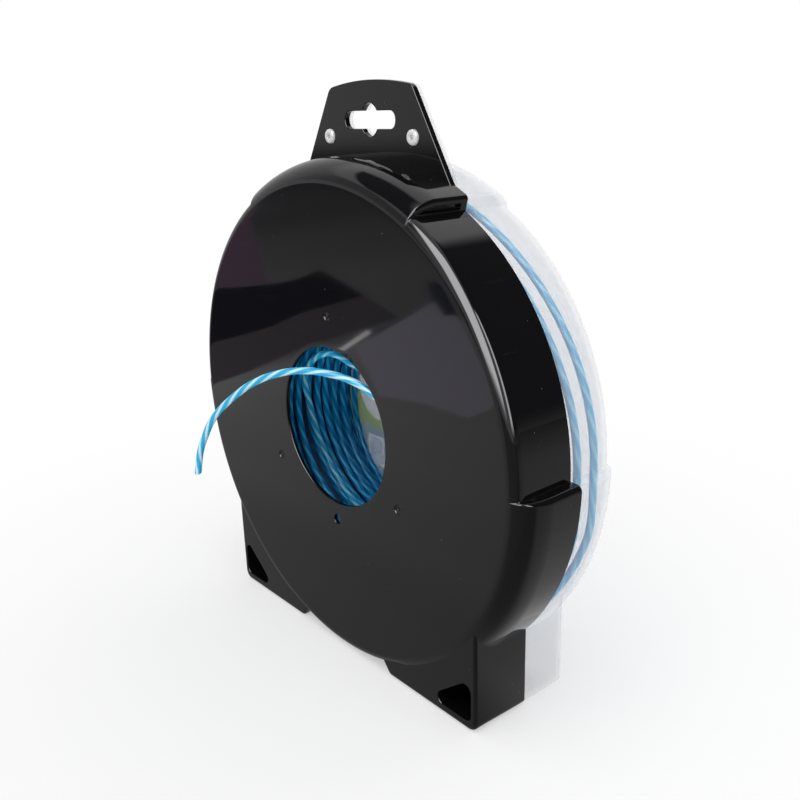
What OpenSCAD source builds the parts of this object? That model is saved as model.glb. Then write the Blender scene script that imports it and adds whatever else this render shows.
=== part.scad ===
// Dispenser pack for trimmer line: a coil of thick nylon line in a two-part moulded case.
// X is across the pack, Y runs from the front face to the back, Z is up. The base is at z = 0.

/* [Case] */
// Height of the disc centre above the base
disc_z = 106.6; // [106.4:0.1:112]
// Outer radius of the round case wall, at the plain stretches
waist_r = 106.4; // [102:0.1:108]
// Outer radius of the raised stretches of wall
bulge_r = 111.8; // [110:0.1:114]
// Wall thickness of both shells
wall = 1.8; // [1.2:0.1:2.4]
// Depth of the front shell, from the parting plane to the rim of its face
front_depth = 29.6; // [24:0.1:40]
// Depth of the rear shell, from the parting plane to its back
rear_depth = 23.6; // [20:0.1:40]
// How far the middle of the front face is dished in from its rim
dish = 1.3; // [0:0.1:2]
// Round of the front shell's rim
front_edge_r = 4.5; // [3:0.1:8]
// Round of the rear shell's rim
rear_edge_r = 4; // [3:0.1:8]

/* [Raised stretches] */
// How far the soft shoulder of the raised wall comes in
shoulder_in = 9; // [7:0.1:10]
// Length of the front shell's soft shoulder, along the depth
front_shoulder = 14; // [6:0.1:16]
// Length of the rear shell's soft shoulder, along the depth
rear_shoulder = 10; // [6:0.1:16]
// How far the shoulder starts behind the rim of the face
shoulder_setback = 0.8; // [0.4:0.1:2]
// Half width of the raised stretch at the top, where its two steps rise from the plain wall
top_half_w = 52.7; // [45:0.1:60]
// Lean of the top steps' end faces, outwards
top_lean = 17; // [0:1:25]
// Drop of the two side steps below the disc centre
side_step_drop = 0.5; // [0:0.1:20]
// Round of the outer corner of a top step
top_step_r = 1.5; // [0.5:0.1:3]
// Round of the outer corner of a side step
side_step_r = 2.8; // [0.5:0.1:4]
// Sill left between the plain wall and the slot in a top step
step_slot_sill = 1.35; // [0.6:0.05:1.5]
// Roof left above the slot, over the wall's own thickness
step_slot_roof = 0.9; // [0.5:0.1:1.5]
// Bar left between the slot and the parting plane
step_slot_bar = 3; // [1.5:0.1:5]

/* [Line outlet] */
// Radius of the centre hole that the line is pulled through
outlet_r = 35.2; // [25:0.1:40]
// Radius of the small hole that parks the end of the line
park_hole_r = 2.3; // [1.8:0.1:3]
// Distance of the parking hole from the disc centre
park_hole_pos = 43.1; // [42.5:0.1:60]
// Radius of a gate dimple
gate_r = 1.8; // [1:0.1:3]
// Depth of a gate dimple
gate_depth = 0.5; // [0.2:0.1:0.8]
// Distance of the gate dimples from the disc centre
gate_pos = 48.6; // [45:0.1:60]

/* [Hanging tab] */
// Reach of the tab's arched top from the disc centre
tab_reach = 140.3; // [136:0.1:150]
// Width of the tab across its top corners
tab_top_w = 52.4; // [48:0.1:60]
// Lean of the tab's sides
tab_flare = 30; // [20:1:35]
// Round of the tab's top corners
tab_corner_r = 4.5; // [2:0.1:8]
// Thickness of the front shell's tab
tab_t = 2.4; // [1.6:0.1:3]
// Thickness of the rear shell's tab
rear_tab_t = 2; // [1.6:0.1:3]
// Height of the hang slot's middle above the disc centre
slot_pos = 125; // [122:0.1:130]
// Width of the hang slot
slot_w = 32; // [28:0.1:34]
// Height of the hang slot's band
slot_h = 7; // [6.9:0.1:8]
// Round of the corners of the slot's band
slot_corner_r = 3.2; // [1:0.1:3.4]
// Height of the slot's pointed lobes, from apex to apex
lobe_h = 13.4; // [12:0.1:15]
// Width of the slot's lobes at their middle
lobe_w = 11.2; // [10:0.1:12]

/* [Pegs] */
// Distance of each peg from the middle of the tab
peg_x = 26.7; // [24:0.1:28]
// Height of the pegs above the disc centre
peg_pos = 118.5; // [117:0.1:120]
// Radius of a peg
peg_r = 3; // [2:0.1:4]
// Radial clearance between a peg and its hole
peg_clear = 0.08; // [0.02:0.01:0.1]
// How far a peg stands out of the front tab
peg_proud = 1.8; // [0.5:0.1:3]
// Radius of a peg's blind bore
peg_bore_r = 1; // [0.5:0.1:1.4]
// Depth of a peg's blind bore
peg_bore_depth = 3; // [1:0.1:4]

/* [Feet] */
// Half width of the pack across its feet
foot_half_w = 86.3; // [82:0.1:90]
// Distance of a foot's inner end from the middle
foot_inner = 33; // [28:0.5:36]
// Depth of the front feet
foot_front_depth = 28.6; // [22:0.1:29]
// Depth of the rear feet
foot_rear_depth = 23.6; // [18:0.1:23.6]
// Round of a foot's outer bottom corner
foot_corner_r = 2.5; // [1:0.1:6]
// Round of a foot's inner bottom corner
foot_heel_r = 2.5; // [1:0.1:4]
// Round of a front foot's outer and bottom edges, at its front
foot_front_rim_r = 1.5; // [0.5:0.1:3]
// Round of a rear foot's outer and bottom edges, at its back
foot_rear_rim_r = 2; // [0.5:0.1:3]
// Distance of the pocket from the foot's side
pocket_side = 2.7; // [2.2:0.1:5]
// Distance of the pocket from the sole
pocket_sill = 3.6; // [2.4:0.1:5]
// Width of the triangular pocket in a front foot
pocket_w = 25.2; // [15:0.1:26]
// Height of the triangular pocket in a front foot
pocket_h = 20; // [12:0.1:21]
// Round of the pocket's corners
pocket_r = 3.2; // [1:0.1:3.5]
// Depth of the pocket
pocket_depth = 24; // [10:0.1:24]

/* [Line] */
// Diameter of the trimmer line
line_d = 3; // [2:0.1:3.2]
// Gap between the line and what lies next to it
line_gap = 0.3; // [0.2:0.05:0.5]
// How far the coil sags below the disc centre
coil_sag = 8; // [4:0.5:12]
// Radius of the innermost turns
inner_turn_r = 48.5; // [44:0.5:60]
// Number of turns in the innermost layer
inner_turns = 12; // [6:1:12]
// Radial disorder of the innermost turns
inner_wander = 0.5; // [0:0.1:0.8]
// Direction in which the free end leaves the innermost turns
leave_angle = -10; // [-30:1:0]
// Outer radius of the coil at its back, where it has slumped
coil_back_r = 74; // [60:1:90]
// Length of coil surface that one bundle of turns takes up
bundle_pitch = 12; // [8:1:20]
// Height of a bundle over the grooves beside it
bundle_h = 1.2; // [0.4:0.1:1.4]
// Number of loose turns round the outside of the coil
outer_turns = 2.6; // [1:0.1:2.6]
// Distance of the first loose outer turn in front of the parting plane
outer_start = 8.6; // [6:0.1:10]
// Distance between the loose outer turns, along the depth
outer_pitch = 9.7; // [8:0.1:10]
// How far a loose outer turn wavers along the depth
outer_waver = 4.5; // [0:0.1:4.5]

/* [Label] */
// Radius of the round label on the back
label_r = 60; // [40:1:90]
// Thickness of the label
label_t = 0.2; // [0.1:0.05:0.4]

/* [Hidden] */
$fn = 96;

// Colours of the moulded and drawn parts
BLACK_PLASTIC = [0.06, 0.06, 0.065];
FROSTED_PLASTIC = [0.86, 0.88, 0.91, 0.6];
LABEL_FILM = [0.72, 0.78, 0.62];
LINE_BLUE = [0.10, 0.62, 0.86];
LINE_DEEP_BLUE = [0.02, 0.30, 0.48];

// The whole depth is centred on y = 0, and this is the plane in which the two shells meet
part_y = (front_depth - rear_depth - label_t) / 2;
// A cutter reaches this far past what it cuts
over = 1;
// Steps of a quarter round in a profile, and along the dish
ROUND_STEPS = 8;
DISH_STEPS = 6;
// Radius at which the dish of the front face ends
front_face_r = waist_r - front_edge_r;
// Radius inside the plain case at which the raised wall starts
bulge_root_r = front_face_r - 8;
// Angle off a step's normal at which its rounded corner ends
function corner_angle(distance, reach) = acos(distance / reach);

// Clear inside of the case
inner_waist_r = waist_r - wall;
floor_z = wall;
case_floor_r = min(inner_waist_r, disc_z - floor_z);

// Places of the line: the loose outer turns lie on the floor of the case, and the coil lies on them.
// A turn is a polygon of TURN_RINGS sides, so the middles of its sides lie nearer to the coil
TURN_RINGS = 24;
outer_turn_r = case_floor_r - line_gap - line_d / 2;
core_r = outer_turn_r * cos(180 / TURN_RINGS) - line_d / 2 - line_gap - coil_sag;
core_bore_r = inner_turn_r + line_d / 2 + line_gap + inner_wander;
coil_z = disc_z - coil_sag;
coil_front_y = part_y - front_face_depth(core_bore_r) + wall + line_gap;
coil_back_y = part_y + rear_depth - wall - line_gap;
inner_start_y = coil_back_y - line_d / 2;
inner_end_y = coil_front_y + line_d / 2 + line_gap;
// The coil keeps its full radius from its front to this plane, and slumps behind it
coil_knee_y = part_y - 3;

// Sides of a wound tube and of the free end
TURN_SIDES = 6;
FREE_SIDES = 8;

// Route of the free end, from the innermost turns through the outlet to the bare tip
FREE_POINTS = [
    [47.4, -21.8, 103.9], [45.4, -21.8, 109.4], [42, -21.7, 114.4], [37, -21.6, 119.4],
    [31, -21.6, 123.4], [24.5, -23.4, 127.4], [18.5, -26.2, 130.9], [12, -29.5, 132.9],
    [5, -33, 133.9], [-2, -36.5, 133.9], [-8.5, -40, 132.9], [-15, -43.5, 130.9],
    [-21.5, -47, 127.9], [-27.5, -50.5, 123.9], [-33, -54, 118.9], [-38.5, -57, 113.4],
    [-42.5, -60, 107.4], [-45.5, -62.2, 100.4], [-47.2, -64.5, 92.9], [-47.8, -66.3, 83.4]
];
// The free end bends about square to this direction
FREE_PLANE = [-0.44, 0.89, -0.12];

function unit(v) = v / norm(v);

// Depth of the front face at radius r: dished by a parabola from the rim inwards
function front_face_depth(r) = front_depth - dish * (1 - pow(min(r, front_face_r) / front_face_r, 2));

// Quarter round from the side to the face, with its own reach in and along
function quarter(r, depth, reach_in, reach_along) = [
    for (i = [0:ROUND_STEPS])
        [r - reach_in + reach_in * cos(90 * i / ROUND_STEPS),
         depth - reach_along + reach_along * sin(90 * i / ROUND_STEPS)]
];

// Half section of a plain case: side, rounded rim and dished face. inset is 0 outside, the wall inside
function case_section(depth, edge, dished, inset) = concat(
    [[0, 0], [waist_r - inset, 0]],
    quarter(waist_r - inset, depth - inset, max(edge - inset, 0.4), max(edge - inset, 0.4)),
    [
        for (i = [DISH_STEPS - 1:-1:0])
            let (f = i / DISH_STEPS)
            [f * (waist_r - edge), depth - inset - dished * (1 - f * f)]
    ]
);

// Half section of the raised wall, with its soft shoulder. Its root lies inside the plain case
function bulge_section(depth, shoulder, inset) = concat(
    [[bulge_root_r, 0], [bulge_r - inset, 0]],
    quarter(bulge_r - inset, depth - inset, shoulder_in - inset, shoulder - inset),
    [[bulge_root_r, depth - inset]]
);

// Arc points about a centre
function arc(centre, r, from, to) = [
    for (i = [0:ROUND_STEPS])
        let (a = from + (to - from) * i / ROUND_STEPS)
        centre + r * [cos(a), sin(a)]
];

// Outline with rounded corners: each point is [x, y, radius]
function rounded(points) = [
    for (i = [0:len(points) - 1])
        each corner(
            points[(i + len(points) - 1) % len(points)],
            points[i],
            points[(i + 1) % len(points)]
        )
];
function corner(before, here, after) =
    let (
        at = [here.x, here.y],
        u = unit([before.x, before.y] - at),
        v = unit([after.x, after.y] - at),
        half = acos(u * v) / 2,
        centre = at + unit(u + v) * here[2] / sin(half),
        first = at + u * here[2] / tan(half) - centre,
        last = at + v * here[2] / tan(half) - centre,
        from = atan2(first.y, first.x),
        turn = atan2(first.x * last.y - first.y * last.x, first * last)
    )
    here[2] <= 0 ? [at] : arc(centre, here[2], from, from + turn);

// Places a half of the case: x to the right, y up from the disc centre, z out from the parting plane
module front_half() {
    translate([0, part_y, disc_z]) rotate([90, 0, 0]) children();
}
module rear_half() {
    translate([0, part_y, disc_z]) mirror([0, 1, 0]) rotate([90, 0, 0]) children();
}

module both_sides() {
    children();
    mirror([1, 0, 0]) children();
}

// Everything of a half that lies above the given height over the base
module above(height, depth) {
    reach = bulge_r + tab_reach;
    translate([-reach, height - disc_z, -over]) cube([2 * reach, 2 * reach, depth + 2 * over]);
}

// Stretch of the disc between the two top steps, whose end faces lean outwards from the plain wall
top_step_y = sqrt(waist_r * waist_r - top_half_w * top_half_w);
module top_stretch(depth, inset) {
    end_distance = top_half_w * cos(top_lean) - top_step_y * sin(top_lean) - inset;
    round_reach = bulge_r - inset - top_step_r;
    round_at = corner_angle(end_distance - top_step_r, round_reach) - top_lean;
    half = concat(
        [[0, 0], [end_distance / cos(top_lean), 0]],
        arc(round_reach * [cos(round_at), sin(round_at)], top_step_r, -top_lean, round_at),
        [1.1 * bulge_r * [cos(round_at), sin(round_at)], [0, 1.3 * bulge_r]]
    );
    both_sides() linear_extrude(depth) polygon(half);
}

// Stretch of the disc below a side step, down to the foot
module low_stretch(depth, inset) {
    top_y = -side_step_drop - inset;
    inner_x = foot_inner + 6 + inset;
    round_y = top_y - side_step_r;
    round_x = sqrt(pow(bulge_r - inset - side_step_r, 2) - round_y * round_y);
    end_at = atan2(round_y, round_x);
    side = concat(
        [[inner_x, top_y]],
        arc([round_x, round_y], side_step_r, 90, end_at),
        [1.1 * bulge_r * [cos(end_at), sin(end_at)], [1.2 * bulge_r, -1.2 * bulge_r],
         [inner_x, -1.2 * bulge_r]]
    );
    both_sides() linear_extrude(depth) polygon(side);
}

// The round case with its raised stretches: inset 0 gives the outside, the wall gives the inside
module round_case(depth, edge, dished, shoulder, inset) {
    intersection() {
        union() {
            rotate_extrude() polygon(case_section(depth, edge, dished, inset));
            intersection() {
                rotate_extrude() polygon(bulge_section(depth - shoulder_setback, shoulder, inset));
                union() {
                    top_stretch(depth, inset);
                    low_stretch(depth, inset);
                }
            }
        }
        above(inset, depth);
    }
}

// Outline of a foot, from the sole up into the round case
function foot_outline(inset) =
    let (
        sole = inset - disc_z,
        side = foot_half_w - inset,
        joined_r = front_face_r - wall,
        heel_x = foot_inner - 8,
        heel_y = -sqrt(joined_r * joined_r - heel_x * heel_x),
        top_y = -sqrt(joined_r * joined_r - side * side)
    )
    rounded([
        [foot_inner + inset, sole, foot_heel_r],
        [side, sole, max(foot_corner_r - inset, 0.5)],
        [side, top_y, 0],
        [heel_x + inset, heel_y, 0]
    ]);

// Foot with its outer and bottom edges rounded where they meet its end face
module foot(depth, rim_r) {
    reach = 2 * disc_z;
    both_sides()
        intersection() {
            linear_extrude(depth) polygon(foot_outline(0));
            rotate([90, 0, 0]) linear_extrude(2 * reach, center = true)
                polygon(rounded([[0, 0, 0], [foot_half_w, 0, 0], [foot_half_w, depth, rim_r], [0, depth, 0]]));
            rotate([90, 0, 90]) linear_extrude(foot_half_w)
                polygon(rounded([[0, 0, 0], [0, depth, 0], [-disc_z, depth, rim_r], [-disc_z, 0, 0]]));
        }
}

// Triangle in the outer bottom corner of a foot, grown on all sides
function pocket_outline(grow) =
    let (
        slant = norm([pocket_w, pocket_h]),
        inradius = (pocket_w + pocket_h - slant) / 2,
        scale_up = (inradius + grow) / inradius,
        corner_x = foot_half_w - pocket_side + grow,
        corner_y = pocket_sill - disc_z - grow
    )
    rounded([
        [corner_x, corner_y, pocket_r + grow],
        [corner_x, corner_y + scale_up * pocket_h, pocket_r + grow],
        [corner_x - scale_up * pocket_w, corner_y, pocket_r + grow]
    ]);

// Hollow of a foot, open at the parting plane: it stays clear of the round case and of the pocket
module foot_hollow(depth, with_pocket) {
    both_sides()
        difference() {
            translate([0, 0, -over]) linear_extrude(depth - wall + over) polygon(foot_outline(wall));
            translate([0, 0, -2 * over]) cylinder(h = depth + 3 * over, r = bulge_r);
            if (with_pocket) {
                translate([0, 0, depth - pocket_depth - wall])
                    linear_extrude(pocket_depth + wall + over) polygon(pocket_outline(wall));
            }
        }
}

module foot_pocket() {
    both_sides()
        translate([0, 0, foot_front_depth - pocket_depth])
            linear_extrude(pocket_depth + over) polygon(pocket_outline(0));
}

// Hanging tab with its arched top, lying against the parting plane
module tab_plate(thickness) {
    corner_x = tab_top_w / 2;
    corner_y = sqrt(tab_reach * tab_reach - corner_x * corner_x);
    corner_at = atan2(corner_y, corner_x);
    root_y = waist_r - 2 * wall - 10;
    root_x = corner_x + (corner_y - root_y) * tan(tab_flare);
    arch = [
        for (i = [1:ROUND_STEPS - 1])
            let (a = corner_at + (180 - 2 * corner_at) * i / ROUND_STEPS)
            [tab_reach * cos(a), tab_reach * sin(a), 0]
    ];
    linear_extrude(thickness)
        polygon(rounded(concat(
            [[-root_x, root_y, 0], [root_x, root_y, 0], [corner_x, corner_y, tab_corner_r]],
            arch,
            [[-corner_x, corner_y, tab_corner_r]]
        )));
}

// Hang slot: a band with rounded ends and a pointed lobe above and below
module hang_slot() {
    lobe_shift = (lobe_h * lobe_h - lobe_w * lobe_w) / (4 * lobe_w);
    lobe_r = lobe_shift + lobe_w / 2;
    through = max(tab_t, rear_tab_t) + 2 * over;
    translate([0, slot_pos, -over]) {
        linear_extrude(through)
            polygon(rounded([
                [-slot_w / 2, -slot_h / 2, slot_corner_r],
                [slot_w / 2, -slot_h / 2, slot_corner_r],
                [slot_w / 2, slot_h / 2, slot_corner_r],
                [-slot_w / 2, slot_h / 2, slot_corner_r]
            ]));
        intersection() {
            translate([lobe_shift, 0, 0]) cylinder(h = through, r = lobe_r);
            translate([-lobe_shift, 0, 0]) cylinder(h = through, r = lobe_r);
        }
    }
}

// Slot in the end wall of each top step: it follows the shoulder, between its sill and its roof
module step_slot() {
    both_sides()
        intersection() {
            translate([top_half_w, top_step_y, step_slot_bar])
                rotate([0, 0, -top_lean])
                    translate([-wall - over, -bulge_r / 2, 0])
                        cube([wall + 2 * over, bulge_r, front_depth]);
            difference() {
                rotate_extrude()
                    polygon(bulge_section(front_depth - shoulder_setback, front_shoulder,
                                          wall + step_slot_roof));
                translate([0, 0, -over])
                    cylinder(h = front_depth + 2 * over, r = waist_r + step_slot_sill);
            }
        }
}

module front_shell() {
    color(BLACK_PLASTIC)
        front_half()
            difference() {
                union() {
                    round_case(front_depth, front_edge_r, dish, front_shoulder, 0);
                    foot(foot_front_depth, foot_front_rim_r);
                    tab_plate(tab_t);
                }
                translate([0, 0, -0.01])
                    round_case(front_depth + 0.01, front_edge_r, dish, front_shoulder, wall);
                foot_hollow(foot_front_depth, true);
                foot_pocket();
                step_slot();
                hang_slot();
                peg_holes();
                cylinder(h = front_depth + over, r = outlet_r);
                translate([0, -park_hole_pos, 0]) cylinder(h = front_depth + over, r = park_hole_r);
                gate_dimples();
            }
}

module peg_holes() {
    both_sides()
        translate([peg_x, peg_pos, -over]) cylinder(h = tab_t + 2 * over, r = peg_r + peg_clear);
}

// Three dimples round the outlet, where the moulding was fed
module gate_dimples() {
    for (a = [90, 210, 330]) {
        rotate([0, 0, a])
            translate([gate_pos, 0, front_face_depth(gate_pos) - gate_depth])
                cylinder(h = gate_depth + over, r = gate_r);
    }
}

// Hollow pegs that stand forward out of the rear tab
module pegs() {
    both_sides()
        translate([peg_x, peg_pos, -tab_t - peg_proud])
            difference() {
                cylinder(h = tab_t + peg_proud + rear_tab_t / 2, r = peg_r);
                translate([0, 0, -over]) cylinder(h = peg_bore_depth + over, r = peg_bore_r);
            }
}

module rear_shell() {
    color(FROSTED_PLASTIC)
        rear_half()
            union() {
                difference() {
                    union() {
                        round_case(rear_depth, rear_edge_r, 0, rear_shoulder, 0);
                        foot(foot_rear_depth, foot_rear_rim_r);
                        tab_plate(rear_tab_t);
                    }
                    translate([0, 0, -0.01])
                        round_case(rear_depth + 0.01, rear_edge_r, 0, rear_shoulder, wall);
                    foot_hollow(foot_rear_depth, false);
                    hang_slot();
                }
                pegs();
            }
}

module back_label() {
    color(LABEL_FILM)
        rear_half()
            translate([0, 0, rear_depth]) cylinder(h = label_t, r = label_r);
}

// Half section of the coil, from its bore round its back and front to the bore again. y is off its back
coil_section = rounded([
    [core_bore_r, 0, 3],
    [coil_back_r, 0, 8],
    [core_r, coil_back_y - coil_knee_y, 12],
    [core_r, coil_back_y - coil_front_y, 8],
    [core_bore_r, coil_back_y - coil_front_y, 3]
]);

// Point at a length along a path
function at_length(path, length, i = 0) =
    let (step = norm(path[i + 1] - path[i]))
    length <= step || i == len(path) - 2
        ? path[i] + length / step * (path[i + 1] - path[i])
        : at_length(path, length - step, i + 1);

// The section gathered into bundles of turns: crests stay on it, and grooves lie inside it by a parabola
BUNDLE_STEPS = 4;
function bundled(path) =
    let (
        whole = path_length(path),
        bundles = round(whole / bundle_pitch),
        reach = whole / 100
    )
    [
        for (i = [0:bundles * BUNDLE_STEPS])
            let (
                length = whole * i / (bundles * BUNDLE_STEPS),
                ahead = at_length(path, min(length + reach, whole)),
                along = unit(ahead - at_length(path, max(length - reach, 0))),
                off_crest = 2 * abs(i / BUNDLE_STEPS - round(i / BUNDLE_STEPS))
            )
            at_length(path, length) + bundle_h * off_crest * off_crest * [-along.y, along.x]
    ];

// Body of the coil, between the innermost turns and the loose outer ones
module line_coil() {
    color(LINE_DEEP_BLUE)
        translate([0, coil_back_y, coil_z])
            rotate([90, 0, 0])
                rotate_extrude()
                    polygon(bundled(coil_section));
}

// Point of the innermost layer: share 0 is its start at the back, share 1 its end at the front
function inner_point(share) =
    let (
        a = leave_angle + 360 * inner_turns * (share - 1),
        r = inner_turn_r + inner_wander * sin(1.7 * a) * min(1, 12 * (1 - share))
    )
    [r * cos(a), inner_start_y + (inner_end_y - inner_start_y) * share, coil_z + r * sin(a)];

// Point of the loose outer layer: it starts at the top, winds clockwise and back, and wavers twice a turn
function outer_point(share) =
    let (
        turns = outer_turns * share,
        a = 90 - 360 * turns
    )
    [
        outer_turn_r * cos(a),
        part_y - outer_start + outer_pitch * turns + outer_waver * cos(2 * (a + 5)),
        disc_z + outer_turn_r * sin(a)
    ];

// Direction of a path at point i
function way(path, i) = unit(path[min(i + 1, len(path) - 1)] - path[max(i - 1, 0)]);

// Tube along a path. side_of gives a direction square to the path at each point, which steers the rings
module tube(path, side_of, diameter, sides) {
    rings = [
        for (i = [0:len(path) - 1])
            let (
                t = way(path, i),
                n = unit(side_of[i] - (side_of[i] * t) * t),
                b = cross(t, n)
            )
            for (k = [0:sides - 1])
                path[i] + diameter / 2 * (cos(360 * k / sides) * n + sin(360 * k / sides) * b)
    ];
    last = (len(path) - 1) * sides;
    skin = [
        for (i = [0:len(path) - 2])
            for (k = [0:sides - 1])
                let (here = i * sides + k, next = i * sides + (k + 1) % sides)
                each [[here, here + sides, next], [next, here + sides, next + sides]]
    ];
    caps = [
        for (k = [1:sides - 2])
            each [[0, k, k + 1], [last, last + k + 1, last + k]]
    ];
    polyhedron(points = rings, faces = concat(skin, caps), convexity = 10);
}

// Direction in which a bend through three points runs on at the last of them
function run_on_way(a, b, c) = unit(3 * c - 4 * b + a);

// A wound path whose two ends run on straight for one diameter
function run_on(path) =
    let (last = len(path) - 1)
    concat(
        [path[0] + line_d * run_on_way(path[2], path[1], path[0])],
        path,
        [path[last] + line_d * run_on_way(path[last - 2], path[last - 1], path[last])]
    );
inner_rings = inner_turns * TURN_RINGS;
outer_rings = round(outer_turns * TURN_RINGS);
inner_path = run_on([for (i = [0:inner_rings]) inner_point(i / inner_rings)]);
outer_path = run_on([for (i = [0:outer_rings]) outer_point(i / outer_rings)]);

// The free end goes on from the innermost turns, straight for one more diameter
inner_end = inner_path[len(inner_path) - 1];
free_route = concat([inner_end, inner_end + line_d * way(inner_path, len(inner_path) - 1)], FREE_POINTS);

// Direction from the axis out to each point of a path, which steers the rings of a wound tube
function outward(path, z) = [for (p = path) [p.x, 0, p.z - z]];

// Least gap of a wound path to its own next turn
function to_segment(p, a, b) =
    let (f = max(0, min(1, (p - a) * (b - a) / ((b - a) * (b - a)))))
    norm(p - a - f * (b - a));
function least_gap(path) = min([
    for (i = [0:len(path) - 1])
        for (j = [i + TURN_RINGS / 2:min(i + TURN_RINGS * 3 / 2, len(path) - 2)])
            to_segment(path[i], path[j], path[j + 1]) - line_d
]);
echo(inner_turns_least_gap = least_gap(inner_path), outer_turns_least_gap = least_gap(outer_path));

// Length of a path, as the sum of its steps
function sum(values) = values * [for (v = values) 1];
function path_length(path) = sum([for (i = [1:len(path) - 1]) norm(path[i] - path[i - 1])]);
echo(free_end_length = path_length(free_route), inner_turns_length = path_length(inner_path));

module line_inner_turns() {
    color(LINE_BLUE) tube(inner_path, outward(inner_path, coil_z), line_d, TURN_SIDES);
}

module line_outer_turns() {
    color(LINE_BLUE) tube(outer_path, outward(outer_path, disc_z), line_d, TURN_SIDES);
}

module line_free_end() {
    color(LINE_BLUE) tube(free_route, [for (p = free_route) FREE_PLANE], line_d, FREE_SIDES);
}

front_shell();
rear_shell();
back_label();
line_coil();
line_inner_turns();
line_outer_turns();
line_free_end();
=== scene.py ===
"""Dressed scene of a dispenser pack for trimmer line.

The pack is a round case in two moulded halves, black in front and frosted behind, with feet and
a hanging tab. A coil of thick striped line lies inside, and its end comes out of the face.
Shapes are worked out in millimetres in the case's own layout, and put into meshes in metres.
"""
import logging
import math
from dataclasses import dataclass, field
from enum import Enum
from typing import Callable, ClassVar, Sequence

import bpy
import numpy as np
from mathutils import Matrix, Vector


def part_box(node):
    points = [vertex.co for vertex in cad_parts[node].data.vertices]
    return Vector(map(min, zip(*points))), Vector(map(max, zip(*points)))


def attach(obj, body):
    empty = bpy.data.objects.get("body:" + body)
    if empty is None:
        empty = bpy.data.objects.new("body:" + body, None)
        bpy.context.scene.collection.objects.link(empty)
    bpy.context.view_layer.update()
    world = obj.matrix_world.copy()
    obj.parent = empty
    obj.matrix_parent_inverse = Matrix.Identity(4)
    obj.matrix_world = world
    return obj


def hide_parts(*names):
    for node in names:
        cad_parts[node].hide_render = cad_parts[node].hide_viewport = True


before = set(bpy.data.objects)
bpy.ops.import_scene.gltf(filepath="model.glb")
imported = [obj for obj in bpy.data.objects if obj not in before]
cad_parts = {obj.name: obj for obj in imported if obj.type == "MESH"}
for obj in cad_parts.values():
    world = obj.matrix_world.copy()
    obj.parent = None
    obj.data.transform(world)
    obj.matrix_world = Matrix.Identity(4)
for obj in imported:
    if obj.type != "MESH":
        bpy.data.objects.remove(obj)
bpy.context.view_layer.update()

LOG = logging.getLogger("dispenser_pack")
MM = 0.001
TINY = 1e-9
ROUND_STEPS = 8
TURN_RINGS = 24

Array = np.ndarray


class Half(Enum):
    """The two halves of the case, with the way each one points out of the parting plane."""

    FRONT = -1
    REAR = 1


class Combine(Enum):
    """What a solid does to the one that it meets."""

    JOIN = "UNION"
    CUT = "DIFFERENCE"


# ---------------------------------------------------------------- numbers into meshes


def unit(vectors: Array) -> Array:
    """Vectors over their own lengths.

    Args:
        vectors: one vector in each last row.

    Returns:
        The same directions, one long.
    """
    return vectors / np.maximum(np.linalg.norm(vectors, axis=-1, keepdims=True), TINY)


def smooth_step(share: Array) -> Array:
    """Three times the share's square less twice its cube, with the share held from 0 to 1."""
    held = np.clip(share, 0.0, 1.0)
    return held * held * (3.0 - 2.0 * held)


@dataclass
class Solid:
    """A closed surface in millimetres.

    Attributes:
        points: one point in each row.
        quads: four point numbers in each row.
        caps: longer rings of point numbers, one for each flat end, or triangles of a fan.
    """

    points: Array
    quads: Array
    caps: list[list[int]] = field(default_factory=list)

    @classmethod
    def from_rings(cls, rings: Array, poles: Sequence[Array] = ()) -> "Solid":
        """Joins rings of points into a closed skin.

        Each ring's point is joined to its neighbour on the ring and to the same point of the next
        ring. The two ends are flat faces, or fans to a pole where poles gives both.

        Args:
            rings: an array of rings, points and three places.
            poles: the point that closes the first ring and the one that closes the last.

        Returns:
            The closed solid.
        """
        count, columns = rings.shape[:2]
        numbers = np.arange(count * columns).reshape(count, columns)
        beside = np.roll(numbers, -1, axis=1)
        around = [numbers[:-1], beside[:-1], beside[1:], numbers[1:]]
        quads = np.stack(around, axis=-1).reshape(-1, 4)
        points = rings.reshape(-1, 3)
        if len(poles):
            first = np.full(columns, len(points))
            fans = np.concatenate([
                np.stack([beside[0], numbers[0], first], axis=-1),
                np.stack([numbers[-1], beside[-1], first + 1], axis=-1),
            ])
            return cls(np.concatenate([points, np.asarray(poles)]), quads, fans.tolist())
        return cls(points, quads, [numbers[0, ::-1].tolist(), numbers[-1].tolist()])

    def volume(self) -> float:
        """Sum of the solid angles' boxes: positive where the faces point outwards."""
        corner = [self.points[self.quads[:, i]] for i in range(4)]
        total = sum(np.einsum("ij,ij->", corner[0], np.cross(corner[i], corner[i + 1]))
                    for i in (1, 2))
        for cap in self.caps:
            ring = self.points[cap]
            total += float(np.sum(np.cross(ring[1:-1], ring[2:]) @ ring[0]))
        return total / 6.0

    def placed(self, half: Half, case: "CaseSizes") -> "Solid":
        """The solid in its half of the case: height becomes Z, and depth leaves the parting plane.

        Args:
            half: the half that it belongs to.
            case: the sizes of the case.

        Returns:
            The placed solid.
        """
        x, y, z = self.points.T
        placed = np.stack([x, case.part_y + half.value * z, case.disc_z + y], axis=-1)
        return Solid(placed, self.quads, self.caps)

    def to_object(self, name: str) -> bpy.types.Object:
        """Makes a mesh object of the solid, with its faces turned outwards.

        Args:
            name: the object's name.

        Returns:
            The new object, at the origin, in metres.
        """
        flip = -1 if self.volume() < 0 else 1
        faces = self.quads[:, ::flip].tolist() + [list(cap)[::flip] for cap in self.caps]
        mesh = bpy.data.meshes.new(name)
        mesh.from_pydata((self.points * MM).tolist(), [], faces)
        mesh.update()
        made = bpy.data.objects.new(name, mesh)
        bpy.context.scene.collection.objects.link(made)
        return made


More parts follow.
